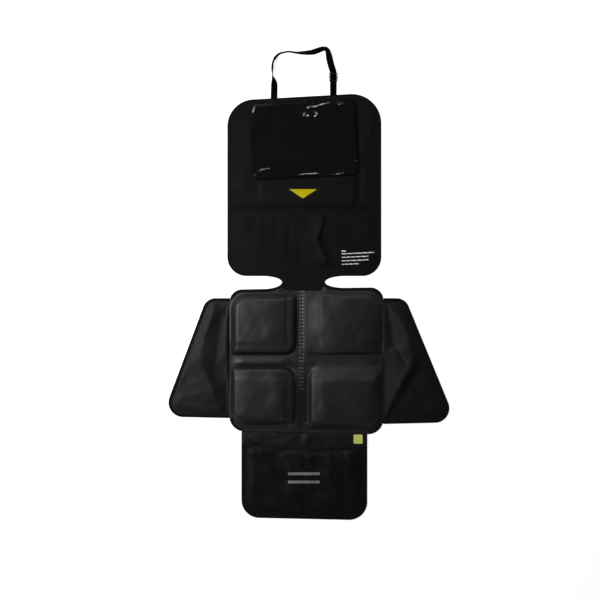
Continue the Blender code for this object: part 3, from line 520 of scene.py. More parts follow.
def top_field(node, cell=0.002, soften=0.004):
    """Height of a CAD node's upper side, a little softened."""
    low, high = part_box(node)
    field = Field(low, high, cell)
    bm = welded(node)
    tree = BVHTree.FromBMesh(bm)
    bm.free()
    found = np.zeros(field.x.shape)
    heights = np.zeros(field.x.shape)
    for j in range(field.rows):
        for i in range(field.columns):
            spot = tree.ray_cast((field.x[j, i], field.y[j, i], 0.1), (0, 0, -1))[0]
            if spot:
                found[j, i] = 1.0
                heights[j, i] = spot.z
    weight = field.blurred(found, soften)
    close = field.blurred(heights, soften) / np.maximum(weight, 1e-6)
    field.values = np.where(weight > 1e-3, close, heights[found > 0].min())
    return field


def waves(x, y, seed, length, count=9):
    """Seeded smooth unevenness between about -1 and 1 with waves of about the given length."""
    dice = np.random.default_rng(SEED + seed)
    total = np.zeros(np.shape(x))
    for _ in range(count):
        angle = dice.uniform(0, math.tau)
        number = math.tau / (length * dice.uniform(0.65, 1.6))
        phase = dice.uniform(0, math.tau)
        total += np.sin(number * (x * math.cos(angle) + y * math.sin(angle)) + phase)
    return total / math.sqrt(2 * count)


def strides(x, y, points):
    """For each stretch of a line of (x, y, share) points: its share, distance and left offset."""
    for (ax, ay, first), (bx, by, second) in zip(points, points[1:]):
        side_x = bx - ax
        side_y = by - ay
        length = math.hypot(side_x, side_y)
        share = np.clip(((x - ax) * side_x + (y - ay) * side_y) / length**2, 0.0, 1.0)
        gap = np.hypot(x - ax - share * side_x, y - ay - share * side_y)
        left = (side_x * (y - ay) - side_y * (x - ax)) / length
        yield first + (second - first) * share, gap, left


def ridge(x, y, points, width):
    """A soft ridge along a line of (x, y, share) points, 1 high where the share is 1."""
    total = np.zeros(np.shape(x))
    for share, gap, _ in strides(x, y, points):
        total = np.maximum(total, share * np.exp(-(gap / width) ** 2))
    return total


def roof(x, y, points, flank):
    """A sharp fold with straight flanks along (x, y, share) points; the share scales its width."""
    total = np.zeros(np.shape(x))
    for share, gap, _ in strides(x, y, points):
        total = np.maximum(total, flank * share - gap)
    return total


def fall(x, y, points, near, far):
    """A fold along (x, y, share) points: wide on its left, seen along the line, and steep beyond."""
    total = np.zeros(np.shape(x))
    for share, gap, left in strides(x, y, points):
        width = far + (near - far) * ease(left, -0.002, 0.002)
        total = np.maximum(total, share * np.exp(-(gap / width) ** 2))
    return total


# Materials


def new_material(name):
    """A material, its node tree, its shader and the object's own coordinates."""
    made = bpy.data.materials.new(name)
    made.use_nodes = True
    tree = made.node_tree
    place = tree.nodes.new("ShaderNodeTexCoord").outputs["Object"]
    return made, tree, tree.nodes["Principled BSDF"], place


def texture(tree, place, kind, result, **values):
    """The result socket of a texture at the given coordinates."""
    node = tree.nodes.new(f"ShaderNodeTex{kind}")
    if "feature" in values:
        node.feature = values.pop("feature")
    for key, value in values.items():
        node.inputs[key].default_value = value
    tree.links.new(place, node.inputs["Vector"])
    return node.outputs[result]


def maths(tree, operation, *values):
    """The output of a math node on sockets or numbers."""
    node = tree.nodes.new("ShaderNodeMath")
    node.operation = operation
    for slot, value in zip(node.inputs, values):
        if isinstance(value, (int, float)):
            slot.default_value = value
        else:
            tree.links.new(value, slot)
    return node.outputs[0]


def colour_between(tree, shader, factor, first, second):
    """Gives the shader a colour between two, by a factor socket."""
    node = tree.nodes.new("ShaderNodeMix")
    node.data_type = "RGBA"
    tree.links.new(factor, node.inputs["Factor"])
    for key, value in (("A", first), ("B", second)):
        socket = next(s for s in node.inputs if s.name == key and s.type == "RGBA")
        socket.default_value = (*value, 1.0)
    result = next(s for s in node.outputs if s.type == "RGBA")
    tree.links.new(result, shader.inputs["Base Color"])


def uneven_roughness(tree, shader, factor, spread, low):
    """Gives the shader a roughness that starts at low and grows by the factor socket."""
    tree.links.new(maths(tree, "MULTIPLY_ADD", factor, spread, low), shader.inputs["Roughness"])


def add_bump(tree, shader, height, strength, distance):
    """Raises the shader's surface by a height socket."""
    bump = tree.nodes.new("ShaderNodeBump")
    bump.inputs["Strength"].default_value = strength
    bump.inputs["Distance"].default_value = distance
    tree.links.new(height, bump.inputs["Height"])
    tree.links.new(bump.outputs["Normal"], shader.inputs["Normal"])


def weave_height(tree, place, pitch):
    """Over-and-under threads of a plain weave, from 0 to 1."""
    split = tree.nodes.new("ShaderNodeSeparateXYZ")
    tree.links.new(place, split.inputs[0])
    warp, weft = (
        maths(tree, "SINE", maths(tree, "MULTIPLY", split.outputs[axis], math.pi / pitch))
        for axis in (0, 1)
    )
    return maths(tree, "MULTIPLY_ADD", maths(tree, "MULTIPLY", warp, weft), 0.5, 0.5)


def woven(name, colour, pale, pitch, roughness=0.85, specular=0.2, sheen=0.02, depth=0.00025):
    """Woven cloth: threads of a plain weave, uneven shade and a faint sheen."""
    made, tree, shader, place = new_material(name)
    threads = weave_height(tree, place, pitch)
    cloudy = texture(tree, place, "Noise", "Fac", Scale=14.0, Detail=4.0, Roughness=0.6)
    slubs = texture(tree, place, "Noise", "Fac", Scale=0.35 / pitch, Detail=3.0, Roughness=0.7)
    mixed = maths(tree, "MULTIPLY_ADD", threads, 0.35, cloudy)
    colour_between(tree, shader, maths(tree, "MULTIPLY", mixed, 0.8), colour, pale)
    uneven_roughness(tree, shader, slubs, 0.12, roughness - 0.06)
    shader.inputs["Specular IOR Level"].default_value = specular
    shader.inputs["Sheen Weight"].default_value = sheen
    shader.inputs["Sheen Roughness"].default_value = 0.4
    add_bump(tree, shader, maths(tree, "MULTIPLY_ADD", slubs, 0.5, threads), 0.6, depth)
    return made


def leather(name, colour, pale):
    """Soft coated leather with a fine pebble grain and a satin shine."""
    made, tree, shader, place = new_material(name)
    pebbles = texture(tree, place, "Voronoi", "Distance", feature="SMOOTH_F1", Scale=620.0)
    pores = texture(tree, place, "Noise", "Fac", Scale=900.0, Detail=2.0)
    cloudy = texture(tree, place, "Noise", "Fac", Scale=11.0, Detail=5.0, Roughness=0.55)
    colour_between(tree, shader, cloudy, colour, pale)
    uneven_roughness(tree, shader, cloudy, 0.13, 0.41)
    shader.inputs["Specular IOR Level"].default_value = 0.36
    add_bump(tree, shader, maths(tree, "MULTIPLY_ADD", pores, 0.3, pebbles), 0.22, 0.00025)
    return made


def clear_film():
    """Clear soft vinyl: mostly see-through, with a hard gloss and a faint haze."""
    made, tree, shader, place = new_material("clear_film")
    haze = texture(tree, place, "Noise", "Fac", Scale=16.0, Detail=4.0)
    colour_between(tree, shader, haze, (0.003, 0.003, 0.003), (0.007, 0.007, 0.007))
    uneven_roughness(tree, shader, haze, 0.06, 0.05)
    shader.inputs["Specular IOR Level"].default_value = 0.80
    shader.inputs["Alpha"].default_value = 0.50
    return made


def moulded(name, colour, pale, roughness, grain=1500.0, strength=0.12, specular=0.5):
    """Moulded plastic, rubber or print with a fine grain."""
    made, tree, shader, place = new_material(name)
    fine = texture(tree, place, "Noise", "Fac", Scale=grain, Detail=2.0)
    cloudy = texture(tree, place, "Noise", "Fac", Scale=60.0, Detail=4.0)
    colour_between(tree, shader, cloudy, colour, pale)
    uneven_roughness(tree, shader, cloudy, 0.12, roughness - 0.06)
    shader.inputs["Specular IOR Level"].default_value = specular
    add_bump(tree, shader, fine, strength, 0.0002)
    return made


def foam_material():
    """Open-cell foam."""
    made, tree, shader, place = new_material("grey_foam")
    cells = texture(tree, place, "Voronoi", "Distance", Scale=900.0)
    colour_between(tree, shader, cells, (0.20, 0.20, 0.21), (0.42, 0.42, 0.43))
    shader.inputs["Roughness"].default_value = 0.95
    add_bump(tree, shader, cells, 0.6, 0.0004)
    return made


def grip_material():
    """Non-slip backing: rubber dots on a dark mesh."""
    made, tree, shader, place = new_material("grip_mesh")
    dots = weave_height(tree, place, 0.004)
    cloudy = texture(tree, place, "Noise", "Fac", Scale=30.0, Detail=4.0)
    raised = maths(tree, "SMOOTH_MIN", maths(tree, "POWER", dots, 2.0), 0.6)
    mixed = maths(tree, "MULTIPLY", raised, cloudy)
    colour_between(tree, shader, mixed, (0.010, 0.010, 0.010), (0.06, 0.06, 0.06))
    shader.inputs["Roughness"].default_value = 0.85
    add_bump(tree, shader, raised, 0.8, 0.0008)
    return made


LOOKS = {
    "fabric": woven("black_fabric", (0.0028, 0.0028, 0.0029), (0.0054, 0.0054, 0.0056), 0.0007,
                    roughness=0.54, specular=0.048),
    "flap": woven("flap_fabric", (0.0024, 0.0024, 0.0025), (0.0048, 0.0048, 0.0050), 0.0007,
                  roughness=0.42, specular=0.085),
    "wing": woven("wing_fabric", (0.0020, 0.0020, 0.0022), (0.0050, 0.0050, 0.0053), 0.0007,
                  roughness=0.45, specular=0.16),
    "leather": leather("black_leather", (0.0030, 0.0030, 0.0033), (0.0060, 0.0060, 0.0064)),
    "tape": woven("edge_tape", (0.0010, 0.0010, 0.0011), (0.0030, 0.0030, 0.0032), 0.0005,
                  roughness=0.7, specular=0.06),
    "lining": woven("base_lining", (0.010, 0.010, 0.010), (0.020, 0.020, 0.020), 0.0009),
    "webbing": woven("black_webbing", (0.0004, 0.0004, 0.0004), (0.0012, 0.0012, 0.0012), 0.0012,
                     roughness=0.7, specular=0.02, sheen=0.0, depth=0.0004),
    "thread": woven("black_thread", (0.0060, 0.0060, 0.0064), (0.012, 0.012, 0.0125), 0.0003,
                    roughness=0.6, specular=0.4),
    "lime": woven("lime_tag", (0.39, 0.43, 0.072), (0.57, 0.62, 0.165), 0.0006, roughness=0.7,
                  specular=0.25),
    "lime_thread": woven("lime_thread", (0.62, 0.68, 0.28), (0.82, 0.86, 0.48), 0.0003),
    "yellow": moulded("yellow_badge", (0.37, 0.30, 0.001), (0.46, 0.38, 0.002), 0.5, specular=0.12),
    "print": moulded("white_print", (0.62, 0.62, 0.61), (0.80, 0.80, 0.79), 0.6, grain=2500.0,
                     specular=0.3),
    "scale_print": moulded("scale_print", (0.20, 0.20, 0.20), (0.32, 0.32, 0.32), 0.6, grain=2500.0,
                           specular=0.2),
    "reflective": moulded("reflective_print", (0.10, 0.10, 0.105), (0.20, 0.20, 0.205), 0.35,
                          grain=4000.0, strength=0.3),
    "plastic": moulded("black_plastic", (0.004, 0.004, 0.004), (0.008, 0.008, 0.008), 0.4, specular=0.2),
    "film": clear_film(),
    "foam": foam_material(),
    "grip": grip_material(),
}


# Seat cover


# Soft bumps of the pads: a line of (x, y, share) points, its rise and its width
SWELLS = (
    ([(-0.098, 0.084, 1.0), (-0.085, 0.088, 0.8)], 0.0015, 0.022),
    ([(-0.130, 0.160, 0.6), (-0.080, 0.165, 1.0)], 0.0010, 0.016),
    ([(-0.078, -0.060, 0.7), (-0.076, -0.110, 1.0)], 0.0016, 0.020),
    ([(0.066, 0.150, 0.8), (0.070, 0.080, 1.0)], 0.0014, 0.032),
    ([(0.058, -0.075, 0.8), (0.062, -0.130, 1.0)], 0.0014, 0.032),
)


class Pad:
    """One foam pad: its outline, its middle and which of its sides face the channels."""

    def __init__(self, place):
        node = f"foam_pad_{place}"
        self.loop = smooth_line(outline_of(node), 0.004)
        low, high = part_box(node)
        self.place = place
        self.is_left = "left" in place
        self.is_back = "back" in place
        self.side_x = -1 if self.is_left else 1
        self.side_y = 1 if self.is_back else -1
        near_x, self.outer_x = (low.x, high.x)[::self.side_x]
        near_y, self.outer_y = (low.y, high.y)[::self.side_y]
        self.inner_x = near_x - self.side_x * FOAM_BORDER
        self.inner_y = near_y - self.side_y * FOAM_BORDER

    def inner_depths(self, x, y):
        """Distances from the two sides that face the channels."""
        return self.side_x * (x - self.inner_x), self.side_y * (y - self.inner_y)

    def corner(self, across, along):
        """The point at these distances from the two inner sides."""
        return Vector((self.inner_x + self.side_x * across, self.inner_y + self.side_y * along))


def pad_creases(pads):
    """Thin pressed lines where the foam's edge shows through the cover."""
    reach = 0.150
    turn = 0.006
    lines = []
    for pad in pads:
        if pad.place == "back_right":
            lines.append([pad.corner(SHOULDER, 0.025), pad.corner(SHOULDER, reach + 0.012)])
            continue
        line = [pad.corner(SHOULDER, reach), pad.corner(SHOULDER, SHOULDER + turn)]
        for step in range(1, 6):
            angle = math.pi / 2 * step / 5
            line.append(pad.corner(SHOULDER + turn * (1 - math.cos(angle)),
                                   SHOULDER + turn * (1 - math.sin(angle))))
        line.append(pad.corner(reach if pad.is_left else 0.075, SHOULDER))
        lines.append(line)
    inner = SHOULDER - 0.008
    lines.append([pads[0].corner(inner, reach), pads[0].corner(inner, 0.030)])
    return lines


def slanted(pad, roll, reach, rise):
    """A pad's roll cut by the gentle slant of its stretched side, by the distance from that side."""
    start = (CLIMB if pad.is_back else CROSS_CLIMB) / rise
    step = TERRACE if pad.is_back else 1 - start
    slant = start + step * np.clip(reach / STRETCHED_ROLL, 0, 1)
    return np.minimum(roll, slant + (1 - slant) * ease(reach, 0.020, 0.120))


def pad_lift(pad, field, depth):
    """How high a pad lifts the cover."""
    x, y = field.x, field.y
    across, along = pad.inner_depths(x, y)
    facing = np.minimum(across, along)
    from_side = np.abs(x - pad.outer_x)
    from_end = np.abs(y - pad.outer_y)
    beside, beyond = ROLLS[pad.place]
    broad = beside + (beyond - beside) * ease(from_side - from_end, -0.015, 0.015)
    inward = ease(facing - np.minimum(from_side, from_end), -0.02, 0.02)
    width = INNER_ROLL + (broad - INNER_ROLL) * inward
    roll = 1 - (1 - np.clip(depth / width, 0, 1)) ** ROLL_POWER
    rise = PAD_RISE * (LOW_PAD if pad.place == "back_right" else 1)
    drop = SHOULDER_DROP
    if not pad.is_left:
        roll = slanted(pad, roll, across if pad.is_back else along, rise)
        drop *= RIGHT_SHOULDER
    crown = 2 * field.blurred(np.clip(depth / field.cell + 0.5, 0, 1), CROWN_BLUR) - 1
    shoulder = 1 - drop * (1 - ease(facing, SHOULDER - SHOULDER_STEP, SHOULDER))
    soft = field.blurred(roll * shoulder, 0.0016)
    sag = waves(x, y, 5 + len(pad.place), 0.085) * 0.0009 + waves(x, y, 6, 0.03) * 0.00022
    lift = (rise * soft + PAD_CROWN * np.clip(crown, 0, 1)) * (depth > 0)
    return lift + sag * ease(depth, 0.004, 0.03)


def channel_lift(pads, field, lift, free):
    """The cover's lift with the ribs, folds and slants of the channels, where they're free of pads."""
    low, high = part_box("seat_cover")
    x, y = field.x, field.y
    left_x = pads[0].inner_x
    right_x = pads[1].inner_x
    centre_x = (left_x + right_x) / 2
    channel_y = (pads[0].inner_y + pads[2].inner_y) / 2
    half = (pads[0].inner_y - pads[2].inner_y) / 2
    down = np.clip((channel_y + half - y) / (2 * half), 0, 1.2)
    rib = RIB_RISE * np.sin(math.pi * np.minimum(down, 1) ** 1.6)
    fade = ease(np.abs(x - centre_x), 0.030, 0.062)
    ends = ease(x, low.x + 0.004, low.x + 0.040) * ease(-x, -high.x + 0.004, -high.x + 0.040)
    right_half = ease(x - centre_x, 0, 0.03)
    rib = rib * (fade * ends * (1 - (1 - RIGHT_RIB) * right_half) + 0.35 * (1 - fade))
    lift = lift + (rib + star(x, y, pads, centre_x, channel_y)) * free
    share = (x - left_x) / (right_x - left_x)
    climb = np.clip((share - 0.1) / 0.9, 0, 1) * (1 - ease(x - right_x, 0.010, 0.020))
    climb *= ease(y - channel_y, half * 0.6, half * 2.0) * ease(high.y - y, 0.020, 0.035)
    sink = np.clip(1 - share / 0.85, 0, 1) * (1 - ease(left_x - x, 0.012, 0.032))
    sink *= ease(channel_y - y, half * 0.9, half * 4.0) * ease(y - low.y, 0.004, 0.030)
    ramp = ease(down, 0.25, 1.15) * (1 - ease(channel_y - half - y, 0.010, 0.020))
    ramp *= ease(x - right_x, 0.010, 0.040) * ease(high.x - x, 0.012, 0.045)
    room = depth_in(smooth_line(outline_of("seat_cover"), 0.004), x, y) - TAPE_WIDTH - 0.0005
    skirt = np.clip(room, 0, 0.016) * ease(pads[2].outer_y + 0.012 - y, 0, 0.010)
    brim = np.clip(y - pads[0].outer_y - FOAM_BORDER, 0, 0.018) * ease(room, -0.003, 0)
    slants = (CLIMB * climb, SINK * sink, CROSS_CLIMB * ramp, SKIRT_SLOPE * skirt, BRIM_SLOPE * brim)
    return np.maximum.reduce([lift, *slants])


def seat_height(pads, creases):
    """Field of the seat cover's upper side."""
    low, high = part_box("seat_cover")
    margin = Vector((0.01, 0.01, 0))
    field = Field(low - margin, high + margin, 0.0013)
    x, y = field.x, field.y
    lift = np.zeros(x.shape)
    near_seam = np.full(x.shape, 1e9)
    near_channel = np.full(x.shape, 1e9)
    taut = np.zeros(x.shape)
    for pad in pads:
        depth = depth_in(pad.loop, x, y) + FOAM_BORDER
        lift += pad_lift(pad, field, depth)
        near_seam = np.minimum(near_seam, np.abs(depth))
        across, along = pad.inner_depths(x, y)
        stretched = along < across if pad.place == "front_right" else across < along
        seamed = (np.minimum(across, along) < SHOULDER) & ~(stretched & (pad.place != "back_left"))
        near_channel = np.minimum(near_channel, np.where(seamed, np.abs(depth), 1e9))
        if not pad.is_left:
            reach, beside = (across, along) if pad.is_back else (along, across)
            near = ease(beside, 0.004, 0.016) * (1 - ease(np.abs(reach), 0.026, 0.040))
            taut = np.maximum(taut, near)
    for line, rise, spread in SWELLS:
        lift += rise * ridge(x, y, line, spread) * (lift > PAD_RISE * 0.5)
    free = (near_seam > 0) & (lift <= 0.0002)
    lift = field.blurred(channel_lift(pads, field, lift, free), 0.0014)
    lift += taut * (field.blurred(lift, STRETCHED_BLUR) - lift)
    lift -= SEAM_DEPTH * np.exp(-(near_channel / SEAM_WIDTH) ** 2)
    pucker = np.sin(waves(x, y, 11, 0.03) * 3.0 + (x + y) * 420) * np.exp(-near_channel / 0.006)
    lift += 0.00022 * pucker * ease(near_channel, 0.0008, 0.003)
    faint = 1 - (1 - RIGHT_CREASE) * ease(x, pads[1].inner_x, pads[1].inner_x + 0.03)
    for line in creases:
        gap = distance(line, x, y, closed=False)
        lift -= CREASE_DEPTH * faint * np.exp(-(gap / CREASE_WIDTH) ** 2)
    field.values = low.z + CLOTH + np.maximum(lift, -0.0009)
    return field


def star(x, y, pads, centre_x, centre_y):
    """Small folds that run from the crossing of the channels towards the pads' corners."""
    total = np.zeros(x.shape)
    for pad, strength in zip(pads, STAR_SHARES):
        line = [
            (centre_x + pad.side_x * across, centre_y + pad.side_y * along, share)
            for across, along, share in ((0.006, 0.007, 0.2), (0.020, 0.013, strength),
                                         (0.045, 0.012, 0.1))
        ]
        total += STAR_RISE * ridge(x, y, line, STAR_WIDTH)
    return total


def make_seat():
    pads = [Pad(place) for place in ROLLS]
    creases = pad_creases(pads)
    height = seat_height(pads, creases)
    loop = smooth_line(outline_of("seat_cover"), 0.0028)
    seams = [grown(pad.loop, FOAM_BORDER) for pad in pads]
    seams = [seam + seam[:1] for seam in seams]
    cover = fine_sheet("seat_cover_leather", loop, 0.0028, height, CLOTH, LOOKS["leather"],
                       creases=creases + seams)
    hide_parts("seat_cover")
    for pad in pads:
        make_foam(pad, height)
    return height


def make_foam(pad, height):
    """A foam block that fills the cover from below."""
    node = f"foam_pad_{pad.place}"
    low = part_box(node)[0]
    foam = fine_sheet(f"{node}_block", smooth_line(outline_of(node), 0.006), 0.006,
                      lambda x, y: np.maximum(height(x, y) - CLOTH - FOAM_GAP, low.z + 0.0003),
                      0.0, LOOKS["foam"], underside=lambda x, y: np.full(x.shape, low.z))
    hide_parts(node)


# Cloth panels


def make_sheet(node, spacing, top, look, made_of="cloth",
               thickness=CLOTH, folds=()):
    """A fine sheet in place of a CAD sheet, with its flat size as cut."""
    outline = outline_of(node)
    loop = smooth_line(outline, spacing)
    made = fine_sheet(f"{node}_{made_of}", loop, spacing, top, thickness, LOOKS[look], folds=folds)
    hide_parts(node)


def soft_waves(x, y, seed, broad, fine):
    """Soft waves of a cloth above its level, from two pairs of a rise and a length."""
    return sum(
        rise * (waves(x, y, seed + i, length) + 1) for i, (rise, length) in enumerate((broad, fine))
    )


def make_back():
    """Back panel, flat where the window, band and pocket lie on it."""
    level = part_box("back_panel")[0].z + CLOTH
    border = outline_of("back_panel")
    covers = [outline_of(node) for node in ("storage_pocket", "tablet_band", "tablet_window")]

    def top(x, y):
        free = ease(distance(border, x, y), 0.010, 0.030)
        for cover in covers:
            free = free * ease(-depth_in(cover, x, y), 0.004, 0.022)
        soft = 0.0013 * waves(x, y, 21, 0.10) + 0.0006 * waves(x, y, 22, 0.045) + 0.0004
        left = fall(x, y, [(-0.138, 0.488, 0.4), (-0.170, 0.497, 1.0), (-0.205, 0.505, 0.6)],
                    0.004, 0.018)
        upper = ridge(x, y, [(0.195, 0.735, 0.2), (0.200, 0.705, 1.0), (0.192, 0.660, 0.6)], 0.009)
        edge = ridge(x, y, [(0.172, 0.565, 0.2), (0.180, 0.530, 1.0), (0.170, 0.495, 0.3)], 0.010)
        return level + free * np.maximum(soft + 0.0035 * left + 0.0035 * upper + 0.002 * edge, 0)

    make_sheet("back_panel", 0.0045, top, "fabric")


def make_storage_pocket():
    base = top_field("storage_pocket", soften=0.003)
    border = outline_of("storage_pocket")

    def top(x, y):
        free = ease(distance(border, x, y), 0.004, 0.035)
        soft = soft_waves(x, y, 31, (0.0016, 0.11), (0.0005, 0.04))
        crease = fall(x, y, [(0.060, 0.262, 0.2), (0.062, 0.296, 0.9), (0.050, 0.322, 1.0),
                             (0.037, 0.352, 1.0), (0.048, 0.385, 1.0), (0.054, 0.415, 0.7),
                             (0.052, 0.434, 0.0)], 0.026, 0.0065)
        left = ridge(x, y, [(-0.170, 0.400, 0.0), (-0.140, 0.370, 1.0), (-0.090, 0.352, 0.2)], 0.015)
        foot = ridge(x, y, [(0.045, 0.276, 0.8), (0.058, 0.262, 0.4)], 0.006)
        return base(x, y) + free * (soft + 0.0052 * crease + 0.0016 * left + 0.002 * foot)

    make_sheet("storage_pocket", 0.0034, top, "fabric")
    return top


def make_band():
    base = top_field("tablet_band", cell=0.0012, soften=0.0022)
    border = outline_of("tablet_band")
    badge_low, badge_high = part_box("badge")

    def top(x, y):
        free = ease(distance(border, x, y), 0.004, 0.016)
        badge = np.hypot(np.maximum(np.maximum(badge_low.x - x, x - badge_high.x), 0),
                         np.maximum(np.maximum(badge_low.y - y, y - badge_high.y), 0))
        free = free * ease(badge, 0.002, 0.012)
        return base(x, y) + free * soft_waves(x, y, 41, (0.0005, 0.05), (0.0002, 0.02))

    make_sheet("tablet_band", 0.0026, top, "fabric")


# Sharp folds of the clear film: each flank's slope, then the crest's points as shares of the
# window's width and length, with the share that scales the fold's width
FILM_FOLDS = (
    (0.39, [(0.062, 0.935, 1.3), (0.038, 0.830, 1.7), (0.030, 0.731, 1.0)]),
    (0.40, [(0.092, 0.879, 0.6), (0.118, 0.915, 1.0), (0.155, 0.915, 1.0),
            (0.164, 0.894, 0.6)]),
    (0.40, [(0.070, 0.822, 0.6), (0.082, 0.804, 0.8)]),
    (0.36, [(0.133, 0.884, 0.3), (0.246, 0.869, 0.5), (0.284, 0.863, 0.7),
            (0.314, 0.827, 0.7), (0.336, 0.843, 0.4), (0.382, 0.869, 0.3)]),
    (0.38, [(0.525, 0.884, 1.4), (0.555, 0.905, 1.4), (0.601, 0.899, 1.5),
            (0.585, 0.858, 1.2), (0.619, 0.803, 1.2), (0.585, 0.779, 1.2),
            (0.540, 0.798, 1.0), (0.517, 0.782, 1.1), (0.491, 0.808, 1.1),
            (0.514, 0.834, 0.9), (0.510, 0.863, 1.0), (0.525, 0.884, 1.4)]),
    (0.36, [(0.601, 0.899, 1.2), (0.631, 0.925, 1.1), (0.698, 0.946, 1.1),
            (0.736, 0.964, 1.0), (0.766, 0.964, 1.0), (0.804, 0.930, 0.9),
            (0.849, 0.946, 0.9), (0.887, 0.915, 0.9), (0.932, 0.930, 0.8)]),
    (0.36, [(0.470, 0.948, 0.7), (0.540, 0.956, 0.8), (0.610, 0.963, 0.6)]),
    (0.38, [(0.069, 0.097, 0.8), (0.125, 0.139, 1.0), (0.182, 0.143, 1.0),
            (0.186, 0.122, 0.9), (0.118, 0.067, 0.8), (0.085, 0.060, 0.6),
            (0.069, 0.097, 0.8)]),
    (0.36, [(0.340, 0.064, 0.3), (0.412, 0.068, 0.7), (0.487, 0.072, 1.0),
            (0.580, 0.080, 1.0), (0.668, 0.092, 0.8)]),
    (0.36, [(0.640, 0.068, 0.6), (0.782, 0.070, 1.0), (0.856, 0.088, 0.9),
            (0.917, 0.107, 0.8)]),
    (0.40, [(0.875, 0.158, 0.5), (0.898, 0.127, 0.8), (0.940, 0.122, 0.7)]),
    (0.42, [(0.958, 0.353, 0.4), (0.960, 0.250, 0.9), (0.955, 0.158, 0.5)]),
)


def make_window():
    """Clear film: straight walls round a face with sharp folds and faint ripples."""
    border = outline_of("tablet_window")
    low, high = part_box("tablet_window")
    size = high - low
    folds = [
        (slope, [(low.x + across * size.x, low.y + along * size.y, share)
                 for across, along, share in line])
        for slope, line in FILM_FOLDS
    ]
    rows = fold_rows([line for _, line in folds], FOLD_FLANK)
    smooth = smooth_line(border, 0.0016)
    for inset in (WALL_FOOT, WALL_FOOT + WALL_WIDTH):
        rows += [tuple(point) for point in grown(smooth, -inset)]

    def top(x, y):
        inner = distance(border, x, y)
        wall = np.clip((inner - WALL_FOOT) / WALL_WIDTH, 0, 1)
        level = low.z + FILM + WALL_RISE * wall - 0.0016 * ease(inner, 0.012, 0.075)
        free = ease(inner, WALL_FOOT, WALL_FOOT + WALL_WIDTH)
        rim = ease(inner, 0.008, 0.014) * (1 - ease(inner, 0.020, 0.040))
        level += 0.0004 * rim * waves(x, y, 51, 0.040)
        level += 0.0003 * ease(inner, 0.020, 0.045) * waves(x, y, 53, 0.10)
        height = np.zeros(np.shape(x))
        for slope, line in folds:
            height = np.maximum(height, slope * roof(x, y, line, FOLD_FLANK))
        crumple = 0.00003 * (height > 0) * waves(x, y, 55, 0.008)
        return level + free * (height + crumple)

    make_sheet("tablet_window", 0.0030, top, "film", made_of="film",
               thickness=FILM, folds=rows)


# Sections across the right wing from front to back: its y, then (x, height) at the seat's edge,
# in the valley, on the ridge and at the ridge's outer foot
RIGHT_FOLDS = (
    (-0.160, (0.230, 0.0002), (0.232, 0.0006), (0.235, 0.0012), (0.245, 0.0002)),
    (-0.112, (0.230, 0.0002), (0.240, 0.0022), (0.255, 0.0058), (0.275, 0.0004)),
    (-0.055, (0.230, 0.0002), (0.246, 0.0030), (0.287, 0.0104), (0.309, 0.0006)),
    (-0.012, (0.230, 0.0002), (0.244, 0.0024), (0.310, 0.0116), (0.331, 0.0006)),
    (0.004, (0.230, 0.0002), (0.244, 0.0024), (0.313, 0.0120), (0.334, 0.0006)),
    (0.030, (0.230, 0.0006), (0.242, 0.0024), (0.312, 0.0122), (0.335, 0.0008)),
    (0.044, (0.230, 0.0022), (0.256, 0.0008), (0.309, 0.0118), (0.335, 0.0010)),
    (0.066, (0.230, 0.0027), (0.255, 0.0006), (0.301, 0.0108), (0.332, 0.0010)),
    (0.108, (0.230, 0.0027), (0.249, 0.0006), (0.287, 0.0092), (0.320, 0.0010)),
    (0.166, (0.230, 0.0020), (0.236, 0.0008), (0.241, 0.0022), (0.275, 0.0006)),
    (0.172, (0.230, 0.0015), (0.235, 0.0010), (0.238, 0.0012), (0.262, 0.0004)),
)


def right_wing_field():
    """Folds of the right wing over its level cloth, from its sections."""
    low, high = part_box("wing_right")
    field = Field(low, high, 0.002)
    x, y = field.x, field.y
    along = [section[0] for section in RIGHT_FOLDS]
    lines = []
    for k in range(1, len(RIGHT_FOLDS[0])):
        place, rise = (
            np.interp(y, along, [section[k][part] for section in RIGHT_FOLDS]) for part in (0, 1)
        )
        lines.append((place, rise))
    height = lines[0][1] * ease(x, low.x + 0.008, lines[0][0])
    for (start, first), (end, second) in zip(lines, lines[1:]):
        share = np.clip((x - start) / (end - start), 0, 1)
        height = np.where(x > start, first + (second - first) * share, height)
    ends = ease(y, along[0] - 0.012, along[0]) * (1 - ease(y, along[-1], along[-1] + 0.006))
    wedge = ridge(x, y, [(0.263, 0.044, 0.7), (0.281, 0.012, 1.0), (0.293, -0.016, 0.6)], 0.0055)
    field.values = low.z + CLOTH + field.blurred(height * ends - 0.0020 * wedge, 0.0026)
    return field


def make_left_wing():
    base = top_field("wing_left", soften=0.0032)
    border = outline_of("wing_left")
    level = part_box("wing_left")[0].z + CLOTH
    seat_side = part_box("seat_cover")[0].x

    def top(x, y):
        seam = seat_side - x
        free = ease(distance(border, x, y), 0.010, 0.030) * ease(seam, 0.004, 0.02)
        facets = base(x, y)
        calm = 0.35 + 0.25 * (1 - ease(seam, 0.020, 0.050))
        soft = soft_waves(x, y, 61, *WING_WAVES)
        return facets + free * (soft - calm * (facets - level))

    make_sheet("wing_left", 0.0032, top, "wing")


def make_right_wing():
    base = right_wing_field()
    border = outline_of("wing_right")
    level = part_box("wing_right")[0].z + CLOTH
    seat_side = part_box("seat_cover")[1].x

    def top(x, y):
        seam = x - seat_side
        inset = distance(border, x, y)
        free = ease(inset, 0.010, 0.030) * ease(seam, 0.004, 0.02) * ease(seam, 0.010, 0.060)
        shown = np.maximum(ease(inset, 0.009, 0.018), 1 - ease(seam, 0, 0.03))
        soft = soft_waves(x, y, 65, *WING_WAVES)
        return level + (base(x, y) - level) * shown + 0.7 * free * soft

    make_sheet("wing_right", 0.0032, top, "wing")


